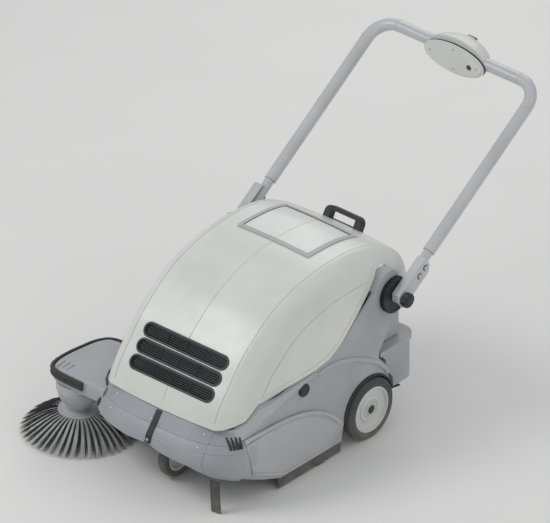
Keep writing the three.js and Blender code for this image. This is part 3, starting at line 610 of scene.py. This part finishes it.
# ---------------------------------------------------------------- front bumper and base
# A height, then the front of the body's plan there and how square its corners are.
LEVELS = [(20, -490, 2.8), (66, -500, 3), (90, -535, 3.3), (122, -552, 3.6), (140, -554, 3.6),
          (161, -547, 3.4), (181, -532, 3.2), (216, -505, 2.8), (262, -492, 2.3), (600, -492, 2.3)]
SIDE_LINE = -340  # Y where the straight sides of the plan end and its round front starts
BUMPER_HALF = 244
BUMPER_BACK = -455.4


def plan_at(z):
    """Front place and squareness of the body's plan at a height."""
    for low, high in zip(LEVELS, LEVELS[1:]):
        if z <= high[0]:
            t = max((z - low[0]) / (high[0] - low[0]), 0)
            return [a + (b - a) * t for a, b in zip(low[1:], high[1:])]
    return LEVELS[-1][1:]


def on_front(degrees, z, half, back=0.0):
    """A place on the round front: 0 degrees at the right side, 90 at the nose, 180 at the left."""
    nose, square = plan_at(z)
    cos, sin = math.cos(math.radians(degrees)), math.sin(math.radians(degrees))
    x = half * math.copysign(abs(cos) ** (2 / square), cos)
    y = SIDE_LINE - (SIDE_LINE - nose - back) * abs(sin) ** (2 / square)
    return Vector((x, y, z))


def angle_at_x(x, z, half):
    return math.degrees(math.acos(abs(x / half) ** (plan_at(z)[1] / 2)))


def angle_at_y(y, z):
    nose, square = plan_at(z)
    return math.degrees(math.asin(((SIDE_LINE - y) / (SIDE_LINE - nose)) ** (square / 2)))


FOLD_DEPTHS = {161: 1.7, 181: 1.9}  # mm deep, round the bumper at these heights
UPRIGHT_GROOVE = 165  # mm from the middle
BUMPER_ROWS = [66, 72, 78, 84, 90, 98, 106, 114, 122, 131, 140, 150, 159.2, 161, 162.8, 170, 179.2, 181,
               182.8, 190, 200, 208, 216]


def bumper_skin(thick):
    def spot(u, v, inside):
        z = BUMPER_ROWS[round(v * (len(BUMPER_ROWS) - 1))]
        first = angle_at_y(BUMPER_BACK, z)
        marks = [angle_at_x(UPRIGHT_GROOVE + step, z, BUMPER_HALF) for step in (1.8, 0, -1.8)]
        # Columns: a plain run round the corner, three at the groove, then the front.
        corner = [first + (marks[0] - first) * i / 9 for i in range(9)]
        front = [marks[2] + (90 - marks[2]) * i / 24 for i in range(1, 25)]
        half = corner + marks + front
        angles = half + [180 - a for a in reversed(half[:-1])]
        index = round(u * (len(angles) - 1))
        groove = len(corner) + 1
        place = on_front(angles[index], z, BUMPER_HALF)
        sink = FOLD_DEPTHS.get(z, 0) + (1.8 if index in (groove, len(angles) - 1 - groove) else 0)
        inward = Vector((-place.x, 2.2 * (SIDE_LINE - place.y), 0)).normalized()
        return place + inward * (thick if inside else sink)
    return shell(2 * 35, len(BUMPER_ROWS) - 1, spot)


def make_bumper():
    lower = [(-300, 150), (-200, 146), (-65, 133), (0, 138), (34, 127), (125, 118), (170, 95), (200, 74),
             (300, 66)]
    bumper = to_object("bumper_shell", bumper_skin(5), BUMPER_PE)
    over_line = grown(SEAM, -1.6)[:5] + [(-300, 400), (-640, 400)]
    cut_away(bumper, prism(lower + [(300, 0), (-300, 0)], -700, -300, "Y"), prism(over_line, -WIDE, WIDE))
    attach(bumper, "chassis", "front_bumper", bevel=1.0)

    places = []
    for x, z in ((-144, 200), (144, 200), (-144, 171), (144, 171)):
        spot = on_front(angle_at_x(x, z, BUMPER_HALF), z, BUMPER_HALF)
        places.append(((x, spot.y, z), (0.35 * x / 144, -1, 0.5)))
    screws("bumper_screws", "chassis", places)
    nose = cad("bumper_strap")[0].y
    screws("strap_screws", "chassis", [((0, nose + 18, 203), (0, -1, 0.8)),
                                       ((0, nose + 1.5, 150), (0, -1, 0))])


def to_side(mesh, side):
    """Bends a flat panel on the right side round the body's front corner, and mirrors it for the left."""
    for y in range(-350, -490, -10):
        bmesh.ops.bisect_plane(mesh, geom=mesh.verts[:] + mesh.edges[:] + mesh.faces[:], plane_co=(0, y, 0),
                               plane_no=(0, 1, 0))
    for vert in mesh.verts:
        if vert.co.y < SIDE_LINE:
            z = min(max(vert.co.z, 66), 262)
            degrees = angle_at_y(max(vert.co.y, plan_at(z)[0] + 1), z)
            vert.co.x -= BODY - on_front(degrees, z, BODY).x
    return on_side(mesh, side)


COVER_TOP = [(-452, 190), (-420, 199), (-375, 203), (-317, 200), (-260, 190), (-210, 174), (-165, 150),
             (-130, 121), (-108, 97)]
COVER_FOOT = [(-103, 80), (-157, 36), (-320, 36), (-428, 82)]
ARCH_TOP = [(-193, 275), (-149, 279), (-98, 271), (-35, 247.5), (28, 211), (62, 179), (77, 157)]
STRIP_TOP = [(-470, 214), (-452, 220), (-431, 229), (-390, 259.5), (-345, 268.5), (-300, 273.5),
             (-201, 280.5)]
STRIP_FOOT = [(-193, 274), (-250, 268), (-313, 250), (-383, 228), (-427, 207), (-470, 190)]


def make_side_panels():
    top, arch = smooth_line(COVER_TOP), smooth_line(ARCH_TOP)
    foot = band([(-428, 84), (-320, 38.5), (-157, 38.5), (-105, 80)][::-1], 7)
    for side in ("right", "left"):
        # Layers are an outline and mm out from the body. On the left the arm takes the place over gap_z.
        for name, layers, gap_z, replaced, bevel in (
                ("side_panel", [(top + COVER_FOOT, 0.6, 3.6), (band(top, 9), 1, 7),
                                (band(grown(top, -14), 3), 1, 5), (foot, 1, 5.4)],
                 146, [f"side_cover_{side}"], 0.9),
                ("wheel_arch", [(band(arch, 10), -1, 4.6), (band(grown(arch, -3.4), 3.2), 0, 6)],
                 None, [], 0.8),
                ("seam_strip", [(STRIP_TOP + STRIP_FOOT, -1, 3.2), (band(STRIP_FOOT, -3), 0, 4.4)],
                 100, [], 0.9)):
            mesh = together(*[prism(outline, BODY + near, BODY + far) for outline, near, far in layers])
            panel = to_object(f"{name}_{side}", to_side(mesh, side), COVER_PP)
            if side == "left" and gap_z:
                cut_away(panel, block(-WIDE, -200, -520, -296, gap_z, 300))
            attach(panel, "chassis", *replaced, bevel=bevel)

    ribs = bmesh.new()
    for y in (-461, -468.5, -476, -483.5):
        path = []
        for step in range(9):
            z = 170 + 32 * step / 8
            edge_y = y + 4 * step / 8
            spot = on_front(angle_at_y(edge_y, z), z, BUMPER_HALF)
            out = Vector((spot.x, 1.4 * (spot.y - SIDE_LINE), 0)).normalized()
            path.append(spot + out * (1.2 if 0 < step < 8 else -1.5))
        strand(ribs, path, 4.2, 10)
    piece("corner_ribs", closed(ribs), SOFT_RUBBER, "chassis")
    piece("skirt_tab", block(237.6, 241.4, -190, -166, 1.5, 34), SOFT_RUBBER, "chassis", bevel=0.6)
    screws("seam_screws", "chassis", [((sign * (BODY + 3), y, z), (sign, 0, 0))
                                      for sign in (1, -1) for y, z in ((-330, 262), (-225, 272))], 3.6)


def make_machinery():
    """What shows when the hood is lifted: battery, broom motor and vacuum fan."""
    low, high = cad("battery_pack")
    lid = high.z - 16

    def tray(inset, corner, z0, z1):
        return prism(rounded(low.x + inset, high.x - inset, low.y + inset, high.y - inset, corner),
                     z0, z1, "Z")
    case = [tray(2, 6, low.z, lid - 1), tray(0, 8, lid, high.z - 6), tray(8, 6, high.z - 6.2, high.z - 4)]
    for index in range(9):
        x = low.x + 40 + (high.x - low.x - 80) * index / 8
        for y in (low.y, high.y - 4):
            case.append(block(x - 2, x + 2, y, y + 4, low.z + 8, lid - 8))
    piece("battery_case", together(*case), BATTERY_PP, "chassis", "battery_pack", bevel=1.4)
    cap = [(0, 3), (6, 3), (9, 2.2), (9.6, 0), (9.6, -2), (0, -2)]
    caps = [turned(cap, 24, "Z", (low.x + 60 + (high.x - low.x - 120) * index / 5, (low.y + high.y) / 2,
                                  high.z - 3.4)) for index in range(6)]
    piece("battery_caps", together(*caps), SOFT_RUBBER, "chassis", bevel=0.4)
    post = [(0, 3.4), (5, 3.4), (6, 2.8), (6, 0), (10, 0), (10, -3), (0, -3)]
    posts = [turned(post, 24, "Z", (x, low.y + 30, high.z - 3.6)) for x in (low.x + 28, high.x - 28)]
    piece("battery_posts", together(*posts), ZINC, "chassis", bevel=0.3)

    low, high = cad("broom_motor")
    axis = (0, (low.y + high.y) / 2, (low.z + high.z) / 2)
    profile = [(0, low.x), (30, low.x), (38, low.x + 3), (42, low.x + 8), (42, low.x + 26), (43, low.x + 27)]
    for index in range(10):
        x = low.x + 34 + (high.x - low.x - 66) * index / 10
        profile += [(43, x), (43, x + 5), (40.6, x + 5.6), (40.6, x + 9.4)]
    profile += [(43, high.x - 27), (42, high.x - 26), (42, high.x - 8), (38, high.x - 3), (30, high.x),
                (0, high.x)]
    piece("broom_motor_case", turned(profile, 64, "X", axis), BLACK_NYLON, "chassis", "broom_motor")

    low, high = cad("vacuum_fan")
    centre = ((low.x + high.x) / 2, (low.y + high.y) / 2, 0)
    fan = [(0, low.z), (58, low.z), (60, low.z + 2)] + [(r, high.z - down) for r, down in (
        (60, 26), (57, 22), (57, 20), (60, 16), (60, 12), (52, 5), (36, 3), (34, 8), (26, 8), (24, 1),
        (14, 0), (0, 0))]
    vanes = [moved(block(24, 35.5, -1, 1, high.z - 9, high.z - 4),
                   Matrix.Translation(centre) @ Matrix.Rotation(math.tau * index / 18, 4, "Z"))
             for index in range(18)]
    piece("fan_housing", together(turned(fan, 72, "Z", centre), *vanes), BLACK_NYLON, "chassis", "vacuum_fan")


def make_base():
    from_cad("base_shell", BODY_PP, "chassis", 1.2)
    make_side_panels()
    for side in ("right", "left"):
        from_cad(f"side_skirt_{side}", SOFT_RUBBER, "chassis", 0.6)
        from_cad(f"fender_lip_{side}", SOFT_RUBBER, "chassis", 1.0)
    for name, finish, bevel in (("bumper_strap", BLACK_NYLON, 1.2), ("drag_strap", SOFT_RUBBER, 0.5),
                                ("rear_flap", SOFT_RUBBER, 0.5), ("arm_gasket", SOFT_RUBBER, 0.8),
                                ("caster_mount", ZINC, 0.8), ("wheel_axle", TURNED_STEEL, 1.0)):
        from_cad(name, finish, "chassis", bevel)
    make_machinery()
    from_cad("dust_filter", FILTER_PAPER, "chassis", 1.0)
    from_cad("drive_belt", SOFT_RUBBER, "chassis", 0.4)
    from_cad("rear_grip", BLACK_NYLON, "hood", 5.0, angle=50)


# ---------------------------------------------------------------- wheels and caster
TYRE = both_sides([(62.3, 221.6), (66, 221.1), (73.2, 221.2), (74, 222.4), (74.8, 221.3), (78.4, 222.6),
                   (81.6, 225.4), (83, 229), (83, 231.6), (81.8, 232.2), (81.8, 233), (83, 233.6), (83, 237),
                   (81.8, 237.6)], 238)
RIM = [(10.7, 226), (20, 226), (22, 228), (34, 230), (55, 230), (58, 222.4), (61.9, 222), (61.9, 253.8),
       (60.6, 254.6), (58, 254.6), (56.6, 253.4), (56, 250), (54.6, 247.4), (37.4, 245.6), (35.8, 246.4),
       (35.2, 248.6), (33.8, 249.4), (27.6, 249.8), (26.4, 249), (25.8, 247.2), (23.4, 247.2), (22.6, 249),
       (20.6, 249.2), (20, 247.6), (18, 247.6), (17.4, 249.6), (15.6, 249.8), (15, 247.8), (13.9, 247.8),
       (13.6, 250.6), (12.4, 251.6), (10.7, 251.6), (10.7, 226)]
HUB_CAP = [(0, 254.4), (6, 254.2), (9.6, 253.2), (11.6, 251.9), (11.6, 250.8), (0, 250.8)]
CASTER_TYRE = both_sides([(40.3, -12), (44, -13.6), (50, -14), (50.8, -13), (51.6, -13.8), (54.6, -12),
                          (56.6, -8), (57, -4)])
CASTER_RIM = both_sides([(8.5, -15), (13, -15), (14, -12), (15, -7), (30, -6), (33, -11.6), (36, -12),
                         (39.9, -12)])


def make_wheels():
    for side in ("right", "left"):
        for name, profile, finish, replaced in (("tyre", TYRE, TYRE_RUBBER, [f"rear_tyre_{side}"]),
                                                ("rim", RIM, RIM_NYLON, [f"rear_rim_{side}"]),
                                                ("hub_cap", HUB_CAP, BLACK_NYLON, [])):
            mesh = on_side(turned(profile, 96, "X", (0, 0, WHEEL_R)), side)
            piece(f"{name}_{side}", mesh, finish, f"wheel_{side}", *replaced)
    for name, profile, finish in (("caster_tyre", CASTER_TYRE, TYRE_RUBBER),
                                  ("caster_rim", CASTER_RIM, RIM_NYLON)):
        mesh = turned(profile, 72, "X", middle("caster_tyre"))
        piece(f"{name}_finished", mesh, finish, "caster_wheel", name)
    from_cad("caster_fork", ZINC, "caster", 1.2)


# ---------------------------------------------------------------- brushes
def strand(mesh, path, radius, sides=3):
    """One bristle: a tapering rod along a path of points, closed at both ends."""
    rings = len(path) - 1
    grid = bmesh.ops.create_grid(mesh, x_segments=sides, y_segments=rings, size=0.5)["verts"]
    ways = [(path[min(i + 1, rings)] - path[max(i - 1, 0)]).normalized() for i in range(rings + 1)]
    for vert in grid:
        turn = (vert.co.x + 0.5) * math.tau
        index = round((vert.co.y + 0.5) * rings)
        side = ways[index].orthogonal().normalized()
        other = ways[index].cross(side)
        thick = 0.02 if index in (0, rings) else radius * (1 - 0.35 * index / rings)
        vert.co = path[index] + (side * math.cos(turn) + other * math.sin(turn)) * thick


def make_side_brush():
    chance = random.Random(7)
    mesh = bmesh.new()
    tufts = 42
    for index in range(tufts):
        for _ in range(15):
            turn = math.tau * (index + 0.5 + chance.uniform(-0.17, 0.17)) / tufts
            spread = chance.uniform(-0.035, 0.035)
            start_r = 47 + chance.uniform(0, 5)
            end_r = 150.5 + chance.uniform(-6, 2)
            start_z = 62.5 + chance.uniform(-1.5, 1.5)
            path = []
            for step in range(6):
                t = step / 5
                r = start_r + (end_r - start_r) * (t ** 0.86)
                z = start_z + (5.2 - start_z) * (t ** 1.25)
                a = turn + spread * t - 0.07 * t * t
                path.append(Vector((SIDE_BRUSH.x + r * math.cos(a), SIDE_BRUSH.y + r * math.sin(a), z)))
            strand(mesh, path, 1.05)
    piece("side_brush_tufts", closed(mesh), BRUSH_BLACK, "side_brush", "side_brush_bristles")
    hub = [(9, 60.2), (45, 60.2), (51.6, 59.6), (53, 61), (53, 66.4), (52, 68), (49.4, 68.4), (47, 67),
           (44, 67.2), (41, 69), (36, 70.4), (32, 70.6), (28, 73), (27, 78.6), (9, 78.8), (9, 60.2)]
    piece("side_brush_plate", turned(hub, 84, "Z", UNDER_SIDE_BRUSH), COVER_PP, "side_brush",
          "side_brush_hub", slot="black_plastic")


def make_main_broom():
    chance = random.Random(11)
    mesh = bmesh.new()
    rows, tufts = 8, 26
    root_r, tip_r = 37, 124
    for row in range(rows):
        for index in range(tufts):
            x = -204 + 408 * index / (tufts - 1)
            turn = math.tau * row / rows + 0.9 * index / tufts
            for _ in range(7):
                lean = chance.uniform(-7, 7)
                swing = chance.uniform(-0.055, 0.055)
                path = []
                for step in range(4):
                    r = root_r + (tip_r + chance.uniform(-2.5, 0) - root_r) * step / 3
                    a = turn + swing * step / 3
                    path.append(Vector((x + lean * step / 3, BROOM.y + r * math.cos(a),
                                        BROOM.z + r * math.sin(a))))
                strand(mesh, path, 1.3)
    piece("broom_tufts", closed(mesh), BRUSH_BLACK, "main_broom", "broom_bristles")
    from_cad("broom_core", BLACK_NYLON, "main_broom", 0.6)
    from_cad("broom_pulley", BLACK_NYLON, "main_broom", 0.4)
    from_cad("motor_pulley", BLACK_NYLON, "motor_drive", 0.4)


# ---------------------------------------------------------------- side brush arm
ARM_LINE = [(-190, -300), (-225, -299), (-290, -298.5), (-340, -305), (-363, -335), (-373, -385),
            (-378, -430), (-376.5, -470), (-366, -494), (-340, -504), (-300, -506.5), (-250, -507),
            (-190, -507)]


def body_form(offset):
    """The round front of the body, grown by an offset, to cut against."""
    outlines = []
    for z in (100, 122, 140, 161, 181, 199, 216, 240, 262):
        front = [on_front(d, z, BODY + offset, offset - 2) for d in range(0, 181, 3)]
        outlines.append(front + [Vector((-BODY - offset, -200, z)), Vector((BODY + offset, -200, z))])
    return loft(outlines)


def arm_outline(inset, z):
    return [Vector((x, y, z)) for x, y in grown(smooth_line(ARM_LINE, 5), inset)]


def make_arm():
    levels = [(3, 150), (0.6, 152), (0, 155), (0, 178), (1.5, 184), (5, 189), (10, 192.6), (17, 194.6),
              (24, 195)]
    crown = to_object("brush_arm_cover", loft([arm_outline(i, z) for i, z in levels]), BODY_PP)
    cut_away(crown, body_form(8))
    attach(crown, "brush_arm", "side_brush_arm", bevel=0.8, angle=50)

    section = [(0.4, 166), (4, 165.2), (7.4, 166.4), (9, 169.6), (9, 173), (7.4, 176), (5.6, 177.2),
               (5.6, 178.4), (7.4, 179.6), (9, 182.4), (9, 185.8), (7.4, 188.8), (4, 190), (0.4, 189.4)]
    guard = to_object("brush_guard", loft([arm_outline(-o, z) for o, z in section], ring=True), SOFT_RUBBER)
    cut_away(guard, block(-256, 0, -600, -200, 100, 260))
    attach(guard, "brush_arm", "arm_bumper")
    from_cad("arm_adjust_pin", ZINC, "brush_arm", 0.4)
    cone = [(8, 80.2), (30, 80.2), (31, 82.6), (37, 84), (37.4, 85), (49.4, 99.4), (50.4, 101), (54, 114),
            (57.6, 126), (58, 128), (58, 131), (56.8, 131.8), (56.8, 133), (58, 133.8), (58, 149.2),
            (40, 149.4), (8, 149.4), (8, 80.2)]
    piece("side_brush_motor_case", turned(cone, 84, "Z", UNDER_SIDE_BRUSH), COVER_PP, "brush_arm",
          "side_brush_motor", slot="black_plastic")
    ribs = bmesh.new()
    for x in (-352, -337, -322):
        strand(ribs, [Vector((x, y, z)) for y, z in ((-497, 190.5), (-493, 193.6), (-484, 195.4),
                                                     (-470, 195.8), (-462, 194.6))], 3.2, 8)
    piece("arm_ribs", closed(ribs), BODY_PP, "brush_arm")


# ---------------------------------------------------------------- push handle
HANDLE_TURN = math.radians(34.2)
TO_HANDLE = Matrix.Translation((0, PIVOT.y, PIVOT.z)) @ Matrix.Rotation(HANDLE_TURN, 4, "X")
TUBE_R = 16
LEG_X = 262.5
LEG_FROM = 138
LEG_LONG = 646.6
BEND = 62
QUARTER = math.radians(90)
CROSSBAR = TO_HANDLE @ Vector((0, LEG_LONG, 0))
TO_CROSSBAR = Matrix.Translation(CROSSBAR)


def tube_line():
    """Centre line of the handle, from the right socket round to the left one, in its own plane."""
    half = [(LEG_X, LEG_FROM + (LEG_LONG - BEND - LEG_FROM) * i / 10) for i in range(10)]
    half += arc(LEG_X - BEND, LEG_LONG - BEND, BEND, 0, 90, 18)
    half += [(120, LEG_LONG), (60, LEG_LONG)]
    return half + [(0, LEG_LONG)] + [(-x, y) for x, y in reversed(half)]


def swept(line, radius, sides=32):
    """A round bar along a line in the plane z = 0."""
    def wall(u, v):
        index = round(v * (len(line) - 1))
        here = Vector(line[index])
        ahead, behind = Vector(line[min(index + 1, len(line) - 1)]), Vector(line[max(index - 1, 0)])
        way = (ahead - behind).normalized()
        turn = u * math.tau
        flat = here + Vector((way.y, -way.x)) * radius * math.cos(turn)
        return Vector((flat.x, flat.y, radius * math.sin(turn)))
    return surface(sides, len(line) - 1, wall)


def make_handle():
    tube = closed(swept(tube_line(), TUBE_R))
    # A rolled bead shows where each bend meets a straight run.
    bead = [(15.4, -1.4), (TUBE_R + 0.4, -1), (TUBE_R + 0.7, 0), (TUBE_R + 0.4, 1), (15.4, 1.4), (15.4, -1.4)]
    for sign in (1, -1):
        for x, y, axis in ((LEG_X, LEG_LONG - BEND, "X"), (LEG_X - BEND, LEG_LONG, "Y")):
            place = Matrix.Translation((sign * x, y, 0)) @ Matrix.Rotation(QUARTER, 4, axis)
            tube = together(tube, moved(turned(bead, 32, "Z"), place))
    piece("handle_bar", moved(tube, TO_HANDLE), TUBE_PAINT, "handle", "handle_tube")
    bolt = [(0, 3.4), (5.2, 3.4), (6.4, 2.6), (6.4, 0), (8.6, 0), (8.6, -1), (0, -1)]
    for side, sign in (("right", 1), ("left", -1)):
        from_cad(f"handle_bracket_{side}", TUBE_PAINT, "handle", 1.4)
        from_cad(f"latch_knob_{side}", BLACK_NYLON, f"latch_{side}", 1.0)
        make_pivot_disc(side)
        make_clamp_knob(side)
        outward = Matrix.Rotation(sign * QUARTER, 4, "Y")
        bolts = [moved(turned(bolt, 36, "Z"),
                       TO_HANDLE @ Matrix.Translation((sign * 282, along, 0)) @ outward)
                 for along in (96, 70)]
        piece(f"bracket_bolts_{side}", together(*bolts), ZINC, "handle", bevel=0.3)


def make_pivot_disc(side):
    """The toothed friction disc under the handle bracket, with a dished face."""
    near, far = sorted(abs(corner.x) for corner in cad(f"pivot_disc_{side}"))
    steps = 4 * 36  # four for each tooth
    outline = []
    for index in range(steps):
        r = 48.5 if index % 4 in (1, 2) else 45.6
        turn = math.tau * (index + 0.5) / steps
        outline.append((PIVOT.y + r * math.cos(turn), PIVOT.z + r * math.sin(turn)))
    disc = to_object(f"friction_disc_{side}", on_side(prism(outline, near, far), side), BLACK_NYLON)
    dish = turned([(16, far - 2.4), (16, far + 5), (40, far + 5), (41, far - 1.2), (38, far - 2.4),
                   (16, far - 2.4)], 60, "X", (0, PIVOT.y, PIVOT.z))
    cut_away(disc, on_side(dish, side))
    attach(disc, "chassis", f"pivot_disc_{side}", bevel=0.5)


def make_clamp_knob(side):
    """Twelve-lobed hand knob on the pivot bolt."""
    near, far = sorted(abs(corner.x) for corner in cad(f"clamp_knob_{side}"))
    centre = middle(f"clamp_knob_{side}")
    axis = (0, centre.y, centre.z)
    lobes = [(19.4 - 1.6 * (0.5 + 0.5 * math.cos(12 * t)), t) for t in [math.tau * i / 96 for i in range(96)]]
    outline = [(centre.y + r * math.cos(t), centre.z + r * math.sin(t)) for r, t in lobes]
    collar = [(0, near + 0.4), (13, near + 0.4), (14, near + 1), (14, near + 3.2), (0, near + 3.2)]
    crown = [(0, far), (9, far), (12.4, far - 0.8), (14, far - 2.6), (0, far - 2.6)]
    mesh = together(prism(outline, near + 3, far - 2.5),
                    *[turned(profile, 40, "X", axis) for profile in (collar, crown)])
    piece(f"hand_knob_{side}", on_side(mesh, side), BLACK_NYLON, f"knob_{side}", f"clamp_knob_{side}",
          bevel=1.0)


# ---------------------------------------------------------------- control housing
def make_controls():
    dome = bmesh.new()
    bmesh.ops.create_uvsphere(dome, u_segments=96, v_segments=64, radius=1)
    moved(dome, Matrix.Translation((0, -12.5, -4)) @ Matrix.Diagonal((96, 66, 50, 1)))
    bmesh.ops.bisect_plane(dome, geom=dome.verts[:] + dome.edges[:] + dome.faces[:], plane_co=(0, -12.4, 0),
                           plane_no=(0, -1, 0), clear_outer=True)
    for vert in closed(dome).verts:
        # A soft ridge down the middle of the case, from the rim to the back.
        if vert.co.z > 0:
            vert.co.z += 4.0 * math.exp(-(vert.co.x / 16) ** 2) * max((vert.co.y + 12.5) / 66, 0)
    rear = to_object("rear_case", moved(dome, TO_CROSSBAR), PANEL_ABS)
    cut_away(rear, moved(closed(swept([(-130, 0), (0, 0), (130, 0)], TUBE_R + 0.4, 40)), TO_CROSSBAR))
    attach(rear, "handle", "control_housing_rear", bevel=0.8)

    def ovals(*layers):
        """Oval plates, each by its half width, half height, front and back."""
        turns = [math.tau * i / 96 for i in range(96)]
        plates = []
        for wide, tall, front, back in layers:
            outline = [(wide * math.cos(t), -8 + tall * math.sin(t)) for t in turns]
            plates.append(prism(outline, front, back, "Y"))
        return moved(together(*plates), TO_CROSSBAR)
    plate = ovals((98, 41, -25, -21.4), (96.4, 39.6, -21.5, -19.6), (97.4, 40.4, -14.9, -13),
                  (92, 36, -27, -24.6))
    bands = ovals((98, 41, -19.7, -16.4), (96.4, 39.6, -16.5, -14.8))
    piece("control_plate", plate, PANEL_ABS, "handle", "control_housing_front", slot="black_plastic",
          bevel=0.9)
    piece("control_seal", bands, SOFT_RUBBER, "handle", bevel=0.6)
    face = CROSSBAR.y - 27
    screws("control_screws", "handle", [((x, face + 0.6, CROSSBAR.z + z), (0, -1, 0))
                                        for x, z in ((-76, -8), (76, -8), (0, -36), (0, 20))], 2.8)
    spot = Matrix.Translation((52, face, CROSSBAR.z - 12)) @ Matrix.Rotation(QUARTER, 4, "X")
    lamp = turned([(0, 1.8), (2.6, 1.6), (4, 0.6), (4.4, -1), (0, -1)], 24, "Z")
    collar = turned([(4.6, -1), (7, -1), (7, 0.8), (5.6, 1.6), (4.6, 0.8), (4.6, -1)], 32, "Z")
    piece("charge_lamp", moved(lamp, spot), RED_SWITCH, "handle")
    piece("charge_lamp_collar", moved(collar, spot), BLACK_NYLON, "handle")
    from_cad("power_switch", RED_SWITCH, "switch", 1.2)


# ---------------------------------------------------------------- build
make_hood()
make_vents()
make_hatch()
make_base()
make_bumper()
make_wheels()
make_side_brush()
make_main_broom()
make_arm()
from_cad("hopper_bin", BODY_PP, "hopper", 1.6)
from_cad("hopper_handle", BLACK_NYLON, "hopper", 2.0)
make_handle()
make_controls()


# ---------------------------------------------------------------- floor, light and camera
LOOK_AT = TO_FRAME @ Vector((-159.1, 103.4, 301.7))
TO_CAMERA = Vector((0.5657, -0.6416, 0.518)).normalized()
CAMERA_AWAY = 40  # m, far enough for a nearly parallel view
LENS = 1047.3  # mm, long enough to fill the frame from there


def put(data, place=(0, 0, 0)):
    """Adds an object for a camera, a light or the floor."""
    made = bpy.data.objects.new(data.name, data)
    made.location = place
    bpy.context.scene.collection.objects.link(made)
    return made


def make_studio():
    floor = bmesh.new()
    bmesh.ops.create_grid(floor, x_segments=4, y_segments=4, size=60)
    data = bpy.data.meshes.new("floor")
    floor.to_mesh(data)
    floor.free()
    # Matt studio paper with a faint fibre.
    data.materials.append(weathered("seamless_paper", "e9e9e7", "e4e4e2", (300, 3, 0.5, 0.0, 1.0),
                                    (12, 4, 0.5, 0.3, 0.7, 0.86, 0.95), ior=1.45))
    put(data)

    lens = bpy.data.cameras.new("camera")
    lens.sensor_width = 36
    lens.lens = LENS
    lens.clip_start, lens.clip_end = 1, 120
    camera = put(lens, LOOK_AT + TO_CAMERA * CAMERA_AWAY)
    camera.rotation_euler = (-TO_CAMERA).to_track_quat("-Z", "Y").to_euler()
    bpy.context.scene.camera = camera

    for name, place, power, size in (("key", (-1.6, -2.2, 2.9), 46, 1.6), ("fill", (2.9, -1.0, 1.4), 14, 2.2),
                                     ("rear", (-1.2, 2.4, 2.2), 20, 1.8), ("side", (2.4, 1.4, 2.6), 12, 2.0)):
        lamp = bpy.data.lights.new(name, "AREA")
        lamp.energy, lamp.size = power, size
        aim = Vector((0, 0, 0.35)) - Vector(place)
        put(lamp, place).rotation_euler = aim.to_track_quat("-Z", "Y").to_euler()
    world = bpy.data.worlds.new("studio")
    world.use_nodes = True
    sky = world.node_tree.nodes["Background"].inputs
    sky["Color"].default_value = linear("f2f3f5")
    sky["Strength"].default_value = 0.5
    bpy.context.scene.world = world
    bpy.context.scene.view_settings.view_transform = "Standard"


make_studio()
